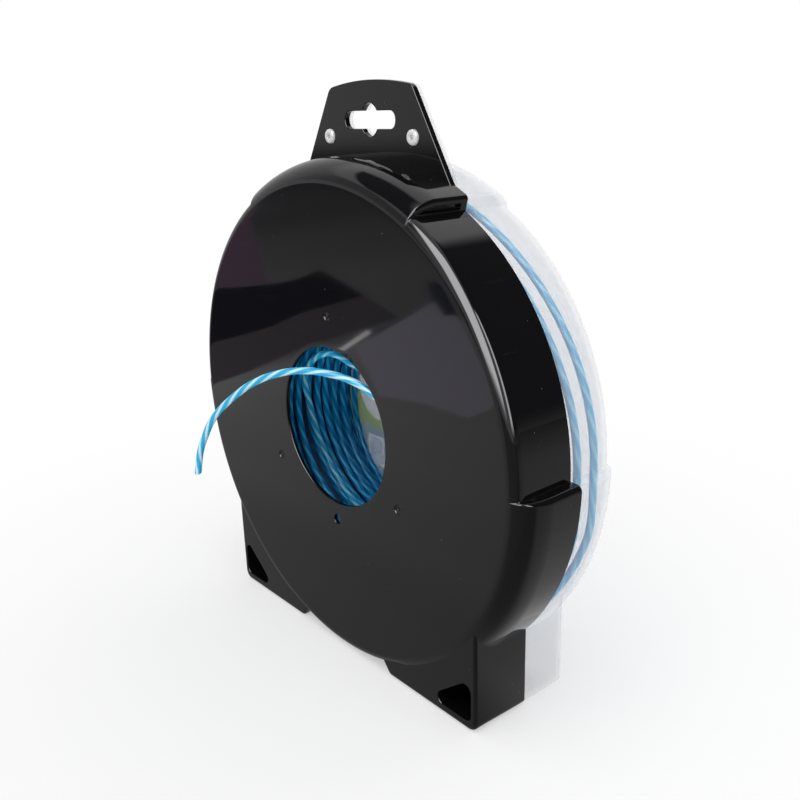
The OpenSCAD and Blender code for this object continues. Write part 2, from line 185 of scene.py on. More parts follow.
def merged(base: bpy.types.Object,
           steps: Sequence[tuple[Combine, bpy.types.Object]]) -> bpy.types.Object:
    """Joins to or cuts from a solid, one step after another.

    Args:
        base: the object that is kept.
        steps: what each further object does. They are deleted.

    Returns:
        The base, with the result as its mesh.
    """
    for how, other in steps:
        modifier = base.modifiers.new("step", "BOOLEAN")
        modifier.operation = how.value
        modifier.solver = "MANIFOLD"
        modifier.object = other
    graph = bpy.context.evaluated_depsgraph_get()
    mesh = bpy.data.meshes.new_from_object(base.evaluated_get(graph), depsgraph=graph)
    mesh.materials.clear()
    base.modifiers.clear()
    base.data = mesh
    for _, other in steps:
        bpy.data.objects.remove(other)
    return base


def smoothed(piece: bpy.types.Object, sharp_degrees: float = 32.0,
             weighted: bool = False) -> bpy.types.Object:
    """Shades a piece smooth, apart from edges that turn more sharply than the angle.

    Args:
        piece: the piece.
        sharp_degrees: the angle.
        weighted: whether large faces steer the shading, which keeps flat faces flat.

    Returns:
        The piece.
    """
    piece.data.shade_smooth()
    piece.data.set_sharp_from_angle(angle=math.radians(sharp_degrees))
    if weighted:
        piece.modifiers.new("flat_faces", "WEIGHTED_NORMAL").keep_sharp = True
    return piece


def on_body(piece: bpy.types.Object, body: str, nodes: Sequence[str] = ()) -> None:
    """Puts a finished piece on its body, for the nodes that it stands for.

    Args:
        piece: the finished object.
        body: the body that it rides.
        nodes: CAD nodes that the piece replaces.
    """
    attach(piece, body)
    if nodes:
        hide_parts(*nodes)
    LOG.info("%s: %d faces on %s", piece.name, len(piece.data.polygons), body)


# ---------------------------------------------------------------- outlines and lofts


def directions(angle: Array) -> Array:
    """The unit vectors at angles in radians."""
    return np.stack([np.cos(angle), np.sin(angle)], axis=-1)


def rounded_outlines(corners: Array, radii: Array, insets: Array,
                     steps: int = ROUND_STEPS) -> Array:
    """Outlines of a convex polygon, drawn in or grown, with its corners rounded by arcs.

    A corner moves along its bisector by the inset over the sine of half its angle. Its arc touches
    both sides, at the radius over the tangent of half the angle from the corner.

    Args:
        corners: the polygon's corners.
        radii: each corner's round, for every outline or one row for each.
        insets: how far each outline lies inside the polygon, or outside it where negative.
        steps: steps of each arc.

    Returns:
        An array of outlines, points and two places.
    """
    before = unit(np.roll(corners, 1, axis=0) - corners)
    after = unit(np.roll(corners, -1, axis=0) - corners)
    half = np.arccos(np.clip(np.sum(before * after, axis=-1), -1, 1)) / 2
    middle = unit(before + after) / np.sin(half)[:, None]
    insets = np.asarray(insets, dtype=float)[:, None]
    radii = np.maximum(np.broadcast_to(radii, (len(insets), len(corners))) - insets, 0.05)
    moved = corners[None] + middle[None] * insets[..., None]
    centre = moved + middle[None] * radii[..., None]
    first = moved + before[None] * (radii / np.tan(half))[..., None] - centre
    last = moved + after[None] * (radii / np.tan(half))[..., None] - centre
    start = np.arctan2(first[..., 1], first[..., 0])
    turn = np.arctan2(first[..., 0] * last[..., 1] - first[..., 1] * last[..., 0],
                      np.sum(first * last, axis=-1))
    angle = start[..., None] + turn[..., None] * np.linspace(0, 1, steps + 1)
    arc = centre[:, :, None] + radii[:, :, None, None] * directions(angle)
    return arc.reshape(len(insets), -1, 2)


def lofted(outlines: Array, heights: Array) -> Array:
    """Rings of a loft: each outline lifted to its height."""
    lifted = np.broadcast_to(np.asarray(heights)[:, None, None], outlines.shape[:2] + (1,))
    return np.concatenate([outlines, lifted], axis=-1)


def revolved(profile: Array, columns: int = 96) -> Array:
    """Rings of a turned form: each radius and height of the profile carried round the Z axis."""
    angle = np.linspace(0, 2 * np.pi, columns, endpoint=False)
    radius, height = profile[:, :1], profile[:, 1:]
    return np.stack([radius * np.cos(angle), radius * np.sin(angle),
                     np.broadcast_to(height, (len(profile), columns))],
                    axis=-1)


def edge_round(radius: float, steps: int = 6) -> tuple[Array, Array]:
    """A quarter round between a side and a face.

    Args:
        radius: the round.
        steps: its steps.

    Returns:
        How far each step lies in from the side, and how far below the face, from side to face.
    """
    angle = np.linspace(0, np.pi / 2, steps + 1)
    return radius * (1 - np.cos(angle)), radius * (1 - np.sin(angle))


def cutter_rows(surface: float, bottom: float, flare: float,
                beyond: float = 1.0) -> tuple[Array, Array]:
    """Rows of a cutter whose mouth opens out in a quarter round, which leaves a soft rim.

    Args:
        surface: height of the surface that is cut.
        bottom: height at which the cutter ends.
        flare: the round of the rim.
        beyond: how far the cutter stands past the surface.

    Returns:
        The insets of the rows, negative where the cutter is grown, and their heights.
    """
    inward, below = edge_round(flare)
    insets = np.concatenate([[0.0], -inward, [-flare]])
    heights = np.concatenate([[bottom], surface - flare + (flare - below), [surface + beyond]])
    return insets, heights


# ---------------------------------------------------------------- the case


@dataclass(frozen=True)
class CaseSizes:
    """Sizes of the case in millimetres, the same for both halves unless named for one."""

    disc_z: float = 106.6
    waist_r: float = 106.4
    bulge_r: float = 111.8
    wall: float = 1.8
    shoulder_setback: float = 0.8
    top_half_w: float = 52.7
    top_lean: float = math.radians(17)
    side_step_drop: float = 0.5
    top_step_r: float = 1.5
    side_step_r: float = 2.8
    root_round: float = 0.5
    seam_gap: float = 0.02
    seam_round: float = 0.18
    least_step: float = 0.3
    ramp_from_x: float = 45.0
    ramp_to_x: float = 39.0
    label_t: float = 0.2

    @property
    def part_y(self) -> float:
        """Depth at which the two halves meet, from the black shell's own box."""
        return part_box("front_shell")[1].y / MM

    @property
    def top_step_y(self) -> float:
        """Height at which a top step leaves the plain wall."""
        return math.sqrt(self.waist_r ** 2 - self.top_half_w ** 2)

    @property
    def end_distance(self) -> float:
        """Distance of a top step's end face from the disc's middle."""
        return self.top_half_w * math.cos(self.top_lean) - self.top_step_y * math.sin(self.top_lean)

    @property
    def end_normal(self) -> Array:
        """Direction in which a top step's end face looks."""
        return np.array([math.cos(self.top_lean), -math.sin(self.top_lean)])

    def on_end(self, distance: Array, reach: Array) -> Array:
        """Points at distances along the end face's normal and reaches from the disc's middle."""
        along = np.array([math.sin(self.top_lean), math.cos(self.top_lean)])
        up = np.sqrt(reach ** 2 - distance ** 2)
        return distance[..., None] * self.end_normal + up[..., None] * along


@dataclass(frozen=True)
class RoundCase:
    """One half of the round case: its outside, or the room inside it.

    Attributes:
        case: the sizes of the case.
        depth: depth from the parting plane to the rim of the face.
        edge: round of the rim.
        dished: how far the middle of the face lies below its rim.
        shoulder: length of the raised wall's shoulder along the depth.
        outlet_r: radius of the hole in the face, or 0 for none.
        outlet_edge: round of that hole's edge.
        blind: how far the blind outlet reaches below the rim's height.
        hub_r: least radius of a row on the face.
        least_rim: least round of the rim, for the room inside.
        plug_r: radius of the ring that closes the half at the parting plane.
        round_share: most of the rise that a step's corner may take up.
        fillet_share: most of the rise that a step's fillet may take up.
    """

    case: CaseSizes
    depth: float
    edge: float
    dished: float
    shoulder: float
    outlet_r: float = 0.0
    outlet_edge: float = 0.5
    blind: float = 8.0
    hub_r: float = 4.0
    least_rim: float = 0.4
    plug_r: float = 60.0
    round_share: float = 0.45
    fillet_share: float = 0.3

    @property
    def face_r(self) -> float:
        """Radius at which the face runs into its rim."""
        return self.case.waist_r - self.edge

    @property
    def shoulder_start(self) -> float:
        """Height at which the raised wall starts to come in."""
        return self.depth - self.case.shoulder_setback - self.shoulder

    def face_height(self, radius: Array, inset: float = 0.0) -> Array:
        """The face: its depth less the dish, which falls off with the radius squared."""
        share = np.minimum(radius, self.face_r) / self.face_r
        return self.depth - inset - self.dished * (1 - share ** 2)

    def raised_radius(self, plain: Array, height: Array, inset: float) -> Array:
        """Radius of the raised wall: upright, then a quarter ellipse that ends in the face's edge.

        Args:
            plain: radius of the plain wall at the heights.
            height: heights off the parting plane.
            inset: 0 outside, the wall's thickness inside.

        Returns:
            The radius at each height, never less than the plain one.
        """
        climb = np.clip((height - self.shoulder_start) / (self.depth - inset - self.shoulder_start),
                        0, 1)
        raised = self.face_r + (self.case.bulge_r - inset - self.face_r) * np.sqrt(1 - climb ** 2)
        return np.where(climb >= 1, plain, np.maximum(raised, plain))

    def outlines(self, plain: Array, raised: Array, inset: float) -> Array:
        """Outlines of the case, with its steps, at given radii.

        Going down the right side they follow the raised arc, a rounded corner, the leaning end
        face, a small fillet, the plain arc, a fillet, the side step, its rounded corner, the low
        raised arc and a ramp inside the foot. Where the wall is hardly raised, the points keep
        their directions, and only their share of the rise shrinks.

        Args:
            plain: radius of the plain wall at each row.
            raised: radius of the raised wall at each row.
            inset: 0 outside, the wall's thickness inside.

        Returns:
            An array of rows, points and two places.
        """
        size = self.case
        low = np.maximum(plain, self.face_r)[:, None]
        rise = np.maximum(raised - plain, size.least_step)[:, None]
        high = low + rise
        fillet = np.minimum(size.root_round, self.fillet_share * rise)
        lean = size.top_lean
        normal = size.end_normal
        plane = size.end_distance - inset
        step_y = -size.side_step_drop - inset

        def arc(centre: Array, radius: Array, start: Array, stop: Array, steps: int) -> Array:
            """Points of an arc about each row's centre, both ends among them."""
            angle = start + (stop - start) * np.linspace(0, 1, steps + 1)
            return centre[:, None] + radius[..., None] * directions(angle)

        def line(start: Array, stop: Array, steps: int) -> Array:
            """Points between two ends, without the ends."""
            share = np.linspace(0, 1, steps + 2)[1:-1, None]
            return start[:, None] + (stop - start)[:, None] * share

        def turn(points: Array) -> Array:
            """Direction of each row's point, as a column."""
            return np.arctan2(points[:, 1], points[:, 0])[:, None]

        middle = np.zeros((len(plain), 2))
        corner_r = np.minimum(size.top_step_r, self.round_share * rise)
        corner = size.on_end(plane - corner_r, high - corner_r)[:, 0]
        root = size.on_end(plane + fillet, low + fillet)[:, 0]
        side_r = np.minimum(size.side_step_r, self.round_share * rise)
        side_root = np.hstack([np.sqrt((low + fillet) ** 2 - (step_y + fillet) ** 2),
                               step_y + fillet])
        side_corner = np.hstack([np.sqrt((high - side_r) ** 2 - (step_y - side_r) ** 2),
                                 step_y - side_r])
        ramp_start = -np.arccos((size.ramp_from_x + inset) / high)
        ramp_stop = -np.arccos((size.ramp_to_x + inset) / high)
        ramp_share = np.linspace(0, 1, 8)
        ramp_angle = ramp_start + (ramp_stop - ramp_start) * ramp_share
        ramp_radius = high - rise * smooth_step(ramp_share)
        half = np.concatenate([
            arc(middle, high, np.pi / 2, turn(corner), 36)[:, :-1],
            arc(corner, corner_r, turn(corner), -lean, 8),
            line(corner + corner_r * normal, root - fillet * normal, 3),
            arc(root, fillet, np.pi - lean, turn(root) + np.pi, 6),
            arc(middle, low, turn(root), turn(side_root), 72)[:, 1:-1],
            arc(side_root, fillet, turn(side_root) + np.pi, 1.5 * np.pi, 6),
            line(np.hstack([side_root[:, :1], side_root[:, 1:] - fillet]),
                 np.hstack([side_corner[:, :1], side_corner[:, 1:] + side_r]), 3),
            arc(side_corner, side_r, np.pi / 2, turn(side_corner), 9),
            arc(middle, high, turn(side_corner), ramp_start, 44)[:, 1:-1],
            ramp_radius[..., None] * np.stack([np.cos(ramp_angle), np.sin(ramp_angle)], axis=-1),
            arc(middle, low, ramp_stop, -np.pi / 2, 24)[:, 1:],
        ], axis=1)
        reach = np.linalg.norm(half, axis=-1)
        share = (reach - low) / rise
        radius = plain[:, None] + share * (raised - plain)[:, None]
        half = half / reach[..., None] * radius[..., None]
        mirrored = half[:, -2:0:-1] * np.array([-1, 1])
        return np.concatenate([half, mirrored], axis=1)

    def solid(self, inset: float) -> Solid:
        """The closed form of this half: its outside for inset 0, else the room inside.

        The outside starts at the bottom of a blind outlet, or at the middle of the face, and runs
        over the face, the rim and the wall to the parting plane. The room runs the same way and
        stands a little past the parting plane.

        Args:
            inset: 0 or the wall's thickness.

        Returns:
            The closed solid in the half's own layout.
        """
        size = self.case
        inside = inset > 0
        rim_r = max(self.edge - inset, self.least_rim)
        coarse, fine = 6.0, 2.0
        rim = np.radians(np.concatenate([
            np.arange(90, 56, -coarse), np.arange(54, 38, -fine), np.arange(36, -1, -coarse),
        ]))
        side_top = self.depth - inset - rim_r
        wall_heights = np.concatenate([
            np.linspace(side_top, self.shoulder_start, 18)[1:],
            np.linspace(self.shoulder_start, size.seam_round, 8)[1:],
        ])
        wall_r = size.waist_r - inset
        hole = self.outlet_r if not inside else 0.0
        face = np.linspace(max(hole + self.outlet_edge, self.hub_r), self.face_r, 26)[:-1]
        rows = [np.stack([face, self.face_height(face, inset)], axis=-1)]
        middle = self.face_height(np.array([0.0]), inset)[0]
        if hole:
            blind = self.depth - self.blind
            inward, below = edge_round(self.outlet_edge, 5)
            lip = self.face_height(np.array([hole + self.outlet_edge]))[0]
            rows.insert(0, np.stack([hole + inward[:-1], lip - below[:-1]], axis=-1))
            rows.insert(0, np.array([[hole / 2, blind], [hole, blind]]))
            middle = blind
        rows.append(np.stack([wall_r - rim_r + rim_r * np.cos(rim), side_top + rim_r * np.sin(rim)],
                             axis=-1))
        rows.append(np.stack([np.full(len(wall_heights), wall_r), wall_heights], axis=-1))
        end = -1.0 if inside else size.seam_gap
        rows.append(np.array([[wall_r - (0 if inside else size.seam_round), end]]))
        profile = np.concatenate(rows)
        plain, height = profile.T
        raised = self.raised_radius(plain, np.maximum(height, 0), inset)
        raised = np.where(height > self.depth - inset - rim_r * 0.02, plain, raised)
        raised = np.where(plain < self.face_r - 0.01, plain, raised)
        raised[-1] -= 0 if inside else size.seam_round
        plain = np.append(plain, self.plug_r)
        raised = np.append(raised, self.plug_r)
        height = np.append(height, end)
        rings = lofted(self.outlines(plain, raised, inset), height)
        return Solid.from_rings(rings, poles=[[0, 0, middle], [0, 0, end]])


@dataclass(frozen=True)
class Foot:
    """A foot of one half, from the sole up into the round case, in millimetres."""

    case: CaseSizes
    depth: float
    rim_r: float
    face_r: float
    front_corner_r: float
    half_w: float = 86.3
    inner: float = 33.0
    corner_r: float = 2.5
    heel_r: float = 2.5
    heel_set: float = 8.0
    rim_share: float = 0.6

    def corners(self, inset: float = 0.0) -> Array:
        """Corners of the foot's outline, drawn in from its sole and sides by the inset."""
        sole = inset - self.case.disc_z
        side = self.half_w - inset
        joined_r = self.face_r - self.case.wall
        heel_x = self.inner - self.heel_set
        return np.array([
            [self.inner + inset, sole],
            [side, sole],
            [side, -math.sqrt(joined_r ** 2 - side ** 2)],
            [heel_x + inset, -math.sqrt(joined_r ** 2 - heel_x ** 2)],
        ])

    def solid(self) -> Solid:
        """The foot as a loft along the depth, drawn in by a quarter round at its end face."""
        inward, below = edge_round(self.rim_r, 8)
        straight = np.linspace(self.case.seam_gap, self.depth - self.rim_r, 6)[:-1]
        insets = np.concatenate([np.zeros(len(straight)), inward])
        heights = np.concatenate([straight, self.depth - below])
        share = smooth_step(heights / self.depth)
        radii = np.stack([
            np.full(len(heights), self.heel_r),
            self.corner_r + (self.front_corner_r - self.corner_r) * share,
            np.zeros(len(heights)),
            np.zeros(len(heights)),
        ], axis=-1)
        radii += insets[:, None] * self.rim_share
        return Solid.from_rings(lofted(rounded_outlines(self.corners(), radii, insets), heights))

    def hollow(self) -> Solid:
        """The room in the foot, a wall inside its outline, before the case is kept clear of it."""
        wall = self.case.wall
        radii = np.array([self.heel_r, max(self.corner_r - wall, 0.5), 0, 0])
        outlines = rounded_outlines(self.corners(wall), radii, np.zeros(2))
        return Solid.from_rings(lofted(outlines, np.array([-1.0, self.depth - wall])))


@dataclass(frozen=True)
class Pocket:
    """Triangular pocket in the end face of a front foot, in millimetres."""

    case: CaseSizes
    foot: Foot
    side: float = 2.7
    sill: float = 3.6
    width: float = 25.2
    height: float = 20.0
    corner_r: float = 3.2
    depth: float = 24.0
    rim: float = 0.45

    def corners(self) -> Array:
        """The triangle's corners, with its right angle in the foot's bottom outer corner."""
        x = self.foot.half_w - self.side
        y = self.sill - self.case.disc_z
        return np.array([[x, y], [x, y + self.height], [x - self.width, y]])

    def cutter(self) -> Solid:
        """The pocket's room, opening out at its rim."""
        insets, heights = cutter_rows(self.foot.depth, self.foot.depth - self.depth, self.rim)
        radii = np.full(3, self.corner_r)
        return Solid.from_rings(lofted(rounded_outlines(self.corners(), radii, insets), heights))

    def casing(self) -> Solid:
        """The pocket grown by the wall, which the foot's hollow keeps clear of."""
        wall = self.case.wall
        radii = np.full(3, self.corner_r)
        outlines = rounded_outlines(self.corners(), radii, np.full(2, -wall))
        low = self.foot.depth - self.depth - wall
        return Solid.from_rings(lofted(outlines, np.array([low, self.foot.depth + 1])))


@dataclass(frozen=True)
class HangingTab:
    """The tab of one half, with its hang slot, in millimetres."""

    case: CaseSizes
    thickness: float
    reach: float = 140.3
    top_w: float = 52.4
    flare: float = math.radians(30)
    corner_r: float = 4.5
    edge_r: float = 0.4
    slot_pos: float = 125.0
    slot_w: float = 32.0
    slot_h: float = 7.0
    slot_corner_r: float = 3.2
    lobe_h: float = 13.4
    lobe_w: float = 11.2
    slot_rim: float = 0.35
    root_depth: float = 10.0

    def plate(self) -> Solid:
        """The plate: leaning sides, rounded top corners, an arched top and a soft edge."""
        x = self.top_w / 2
        y = math.sqrt(self.reach ** 2 - x ** 2)
        root_y = self.case.waist_r - 2 * self.case.wall - self.root_depth
        root_x = x + (y - root_y) * math.tan(self.flare)
        start = math.atan2(y, x)
        angle = np.linspace(start, np.pi - start, 13)[1:-1]
        arch = self.reach * directions(angle)
        corners = np.concatenate([[[-root_x, root_y], [root_x, root_y], [x, y]], arch, [[-x, y]]])
        radii = np.zeros(len(corners))
        radii[[2, -1]] = self.corner_r
        inward, below = edge_round(self.edge_r)
        insets = np.concatenate([[0.0], inward])
        heights = np.concatenate([[self.case.seam_gap], self.thickness - below])
        return Solid.from_rings(lofted(rounded_outlines(corners, radii, insets), heights))

    def slot_cutters(self) -> list[Solid]:
        """The slot's band with rounded ends, and its lobes between two arcs that meet in points."""
        insets, heights = cutter_rows(self.thickness, -1.0, self.slot_rim)
        x, y = self.slot_w / 2, self.slot_h / 2
        band = np.array([[-x, -y], [x, -y], [x, y], [-x, y]]) + [0, self.slot_pos]
        shift = (self.lobe_h ** 2 - self.lobe_w ** 2) / (4 * self.lobe_w)
        radius = shift + self.lobe_w / 2 - insets[:, None]
        share = np.linspace(-1, 1, 21)
        angle = np.arccos(shift / radius) * share
        right = np.stack([radius * np.cos(angle) - shift, radius * np.sin(angle)], axis=-1)
        lobes = np.concatenate([right[:, :-1], -right[:, :-1]], axis=1) + [0, self.slot_pos]
        return [
            Solid.from_rings(lofted(rounded_outlines(band, np.full(4, self.slot_corner_r), insets),
                                    heights)),
            Solid.from_rings(lofted(lobes, heights)),
        ]


@dataclass(frozen=True)
class Pegs:
    """The rear shell's hollow pegs and their holes in the front tab, in millimetres."""

    x: float = 26.7
    y: float = 118.5
    radius: float = 3.0
    clear: float = 0.08
    proud: float = 1.2
    bore_r: float = 1.0
    bore_depth: float = 3.0
    tip_r: float = 0.8
    bore_rim: float = 0.25
    hole_rim: float = 0.2

    def shifted(self, rings: Array, side: int) -> Array:
        """Rings moved to the peg on one side."""
        return rings + np.array([side * self.x, self.y, 0.0])

    def peg(self, side: int, tab_t: float, root: float) -> Solid:
        """A peg with its blind bore, as one turned form from the bore's bottom to its root.

        Args:
            side: 1 for the right peg, -1 for the left one.
            tab_t: thickness of the tab that it goes through.
            root: height at which it ends inside the rear tab.

        Returns:
            The peg, pointing forward out of the rear half.
        """
        tip = -tab_t - self.proud
        tip_in, tip_below = edge_round(self.tip_r)
        rim_in, rim_below = edge_round(self.bore_rim, 4)
        profile = np.concatenate([
            [[self.bore_r, tip + self.bore_depth]],
            np.stack([self.bore_r + rim_in, tip + rim_below], axis=-1),
            np.stack([self.radius - tip_in, tip + tip_below], axis=-1)[::-1],
            [[self.radius, root]],
        ])
        rings = self.shifted(revolved(profile, 64), side)
        centre = [side * self.x, self.y]
        return Solid.from_rings(rings, poles=[centre + [tip + self.bore_depth], centre + [root]])

    def hole(self, side: int, tab_t: float) -> Solid:
        """The hole for a peg, opening out at its front rim."""
        insets, heights = cutter_rows(tab_t, -1.0, self.hole_rim)
        profile = np.stack([self.radius + self.clear - insets, heights], axis=-1)
        return Solid.from_rings(self.shifted(revolved(profile, 64), side))


def as_drawn(solid: Solid) -> Solid:
    """The solid itself, on the right side."""
    return solid


def mirrored(solid: Solid) -> Solid:
    """The solid on the other side of the middle plane."""
    return Solid(solid.points * np.array([-1, 1, 1]), solid.quads, solid.caps)


@dataclass
class ShellHalf:
    """What both shells are made of: a round case with two feet and a tab, hollowed out.

    Attributes:
        case: the sizes of the case.
        round_case: the half's round case.
        foot: its right foot.
        tab: its tab.
        half: which half it is.
        sides: what turns a piece of the right side into that of each side.
        past: how far a cutter stands past what it cuts.
    """

    case: CaseSizes
    round_case: RoundCase = field(init=False)
    foot: Foot = field(init=False)
    tab: HangingTab = field(init=False)
    half: ClassVar[Half]
    sides: ClassVar[tuple[Callable[[Solid], Solid], ...]] = (as_drawn, mirrored)
    past: ClassVar[float] = 2.0

    def made(self, solid: Solid, name: str = "part_of_shell") -> bpy.types.Object:
        """An object of a solid that lies in this half."""
        return solid.placed(self.half, self.case).to_object(name)

    def shell(self, name: str, kept: Sequence[Solid] = (), cuts: Sequence[Solid] = (),
              further: Sequence[tuple[Combine, Solid]] = ()) -> bpy.types.Object:
        """Joins the case, feet and tab, hollows them out and adds what only this half has.

        Args:
            name: the shell's name.
            kept: solids of the right side that the foot's hollow keeps clear of.
            cuts: what is cut from the right side, and mirrored from the left.
            further: what is joined or cut after the hang slot.

        Returns:
            The shell's object.
        """
        reach = self.case.bulge_r
        room = Solid.from_rings(revolved(np.array([
            [reach, -self.past], [reach, self.round_case.depth + self.past],
        ]), 360))
        shell = self.made(self.round_case.solid(0.0), name)
        steps = [(Combine.JOIN, self.made(side(self.foot.solid()))) for side in self.sides]
        steps.append((Combine.JOIN, self.made(self.tab.plate())))
        steps.append((Combine.CUT, self.made(self.round_case.solid(self.case.wall))))
        for side in self.sides:
            clear_of = [(Combine.CUT, self.made(solid)) for solid in (room, *map(side, kept))]
            steps.append((Combine.CUT, merged(self.made(side(self.foot.hollow())), clear_of)))
            steps += [(Combine.CUT, self.made(side(cutter))) for cutter in cuts]
        steps += [(Combine.CUT, self.made(cutter)) for cutter in self.tab.slot_cutters()]
        steps += [(how, self.made(solid)) for how, solid in further]
        return smoothed(merged(shell, steps), weighted=True)


@dataclass
class FrontShell(ShellHalf):
    """The black front half: its case, feet, tab and every opening in them."""

    half: ClassVar[Half] = Half.FRONT
    depth: float = 29.6
    edge: float = 4.5
    dished: float = 1.3
    shoulder: float = 14.0
    outlet_r: float = 35.2
    park_hole_r: float = 2.3
    park_hole_pos: float = 43.1
    park_hole_depth: float = 8.0
    park_hole_rim: float = 0.3
    gate_r: float = 2.1
    gate_depth: float = 0.9
    gate_pos: float = 48.6
    gate_past: float = 0.5
    nub_r: tuple[float, float, float] = (0.62, 0.5, 0.38)
    nub_root: float = 0.4
    nub_step: float = 0.12
    foot_depth: float = 28.6
    foot_rim: float = 1.5
    foot_front_corner: float = 4.0
    tab_t: float = 2.4
    slot_sill: float = 0.65
    slot_roof: float = 0.75
    slot_rim: float = 0.35
    slot_bar: float = 3.0
    slot_skin: float = 0.3
    slot_tip: float = 0.04

    def __post_init__(self) -> None:
        """Works out the parts of the shell that share its sizes."""
        self.round_case = RoundCase(self.case, self.depth, self.edge, self.dished, self.shoulder,
                                    self.outlet_r)
        self.foot = Foot(self.case, self.foot_depth, self.foot_rim, self.round_case.face_r,
                         self.foot_front_corner)
        self.pocket = Pocket(self.case, self.foot)
        self.tab = HangingTab(self.case, self.tab_t)
        self.pegs = Pegs()

    def step_slot(self) -> Solid:
        """Room of the slot in a top step's end wall.

        Its floor is a circle over the plain wall and its roof follows the shoulder's ellipse. Each
        row is a ring between the two, across the leaning end wall. It opens out at the wall's
        outside in a quarter round, which shrinks to nothing at the slot's front tip.

        Returns:
            The cutter for the right step.
        """
        size = self.case
        base = self.round_case
        inset = size.wall + self.slot_roof
        floor = size.waist_r + self.slot_sill
        reach_in = size.bulge_r - inset - base.face_r
        reach_along = self.depth - inset - base.shoulder_start
        last = math.acos((floor + self.slot_tip - base.face_r) / reach_in)
        climb = np.linspace(0, last, 14)
        roof = np.concatenate([[size.bulge_r - inset], base.face_r + reach_in * np.cos(climb)])
        height = np.concatenate([[self.slot_bar],
                                 base.shoulder_start + reach_along * np.sin(climb)])
        flare = self.slot_rim * (1 - np.linspace(0, 1, len(roof)) ** 3)[:, None]
        inward, below = edge_round(1.0, 5)
        ones = np.ones((len(roof), 1))
        out = size.end_distance - flare * below
        low = floor - flare * inward
        high = roof[:, None] + flare * inward
        far = (size.end_distance + 1) * ones
        deep = (size.end_distance - size.wall + self.slot_skin) * ones
        across = np.hstack([deep, out, far, far, out[:, ::-1], deep])
        reach = np.hstack([floor * ones, low, low[:, -1:], high[:, -1:], high[:, ::-1],
                           roof[:, None]])
        return Solid.from_rings(lofted(size.on_end(across, reach), height))

    def round_cutter(self, radius: float, x: float, y: float, bottom: float, rim: float) -> Solid:
        """A round hole in the face, from its surface down.

        Args:
            radius: the hole's radius.
            x: its place across.
            y: its place above the disc's middle.
            bottom: how deep it goes below the face.
            rim: the round of its rim.

        Returns:
            The cutter.
        """
        surface = float(self.round_case.face_height(np.array([math.hypot(x, y)]))[0])
        insets, heights = cutter_rows(surface, surface - bottom, rim)
        profile = np.stack([radius - insets, heights], axis=-1)
        return Solid.from_rings(revolved(profile, 48) + np.array([x, y, 0.0]))

    def gates(self) -> list[tuple[Combine, Solid]]:
        """Three shallow dimples round the outlet, each with the small nub of its gate."""
        steps = []
        for angle in np.radians([90, 210, 330]):
            x, y = self.gate_pos * math.cos(angle), self.gate_pos * math.sin(angle)
            surface = float(self.round_case.face_height(np.array([self.gate_pos]))[0])
            depth = np.linspace(0, 1, 7)
            bottom, top = surface - self.gate_depth, surface + self.gate_past
            bowl = np.stack([self.gate_r * np.sqrt(1 - (1 - depth) ** 2),
                             surface - self.gate_depth * (1 - depth)], axis=-1)[1:]
            low, high = bottom - self.nub_root, surface - self.nub_step
            nub = np.stack([self.nub_r, [low, high - self.nub_step, high]], axis=-1)
            for how, profile, columns, ends in (
                (Combine.CUT, np.concatenate([bowl, [[self.gate_r, top]]]), 40, (bottom, top)),
                (Combine.JOIN, nub, 24, (low, high)),
            ):
                rings = revolved(profile, columns) + np.array([x, y, 0.0])
                steps.append((how, Solid.from_rings(rings, poles=[[x, y, end] for end in ends])))
        return steps

    def build(self) -> bpy.types.Object:
        """Joins and cuts the shell.

        Returns:
            The shell's object.
        """
        further = [(Combine.CUT, self.pegs.hole(side, self.tab_t)) for side in (-1, 1)]
        further.append((Combine.CUT, self.round_cutter(self.park_hole_r, 0, -self.park_hole_pos,
                                                       self.park_hole_depth, self.park_hole_rim)))
        return self.shell("black_shell", [self.pocket.casing()],
                          [self.pocket.cutter(), self.step_slot()], further + self.gates())


@dataclass
class RearShell(ShellHalf):
    """The frosted rear half: its case, feet, tab and pegs."""

    half: ClassVar[Half] = Half.REAR
    front_tab_t: float
    depth: float = 23.6
    edge: float = 4.0
    shoulder: float = 10.0
    foot_rim: float = 2.0
    foot_corner: float = 2.5
    tab_t: float = 2.0
    peg_behind: float = 0.05

    def __post_init__(self) -> None:
        """Works out the parts of the shell that share its sizes."""
        self.round_case = RoundCase(self.case, self.depth, self.edge, 0.0, self.shoulder)
        self.foot = Foot(self.case, self.depth, self.foot_rim, self.round_case.face_r,
                         self.foot_corner)
        self.tab = HangingTab(self.case, self.tab_t)
        self.pegs = Pegs()

    def build(self) -> bpy.types.Object:
        """Joins and cuts the shell, and gives its pegs, the faces before the parting plane, slot 1.

        Returns:
            The shell's object.
        """
        pegs = [(Combine.JOIN, self.pegs.peg(side, self.front_tab_t, self.tab_t / 2))
                for side in (-1, 1)]
        made_shell = self.shell("frosted_shell", further=pegs)
        polygons = made_shell.data.polygons
        centres = np.empty(3 * len(polygons))
        polygons.foreach_get("center", centres)
        on_peg = centres.reshape(-1, 3)[:, 1] < (self.case.part_y - self.peg_behind) * MM
        polygons.foreach_set("material_index", on_peg.astype(np.int32))
        return made_shell


@dataclass(frozen=True)
class BackLabel:
    """The round label on the back, in millimetres."""

    case: CaseSizes
    rear_depth: float
    radius: float = 60.0
    rim: float = 0.06

    def build(self) -> bpy.types.Object:
        """A thin turned disc with a soft edge.

        Returns:
            The label's object.
        """
        low = self.rear_depth
        high = low + self.case.label_t
        profile = np.array([[self.radius / 2, low], [self.radius, low],
                            [self.radius, high - self.rim],
                            [self.radius - self.rim, high], [self.radius / 2, high]])
        disc = Solid.from_rings(revolved(profile, 180), poles=[[0, 0, low], [0, 0, high]])
        return smoothed(disc.placed(Half.REAR, self.case).to_object("round_label"))


# ---------------------------------------------------------------- the line


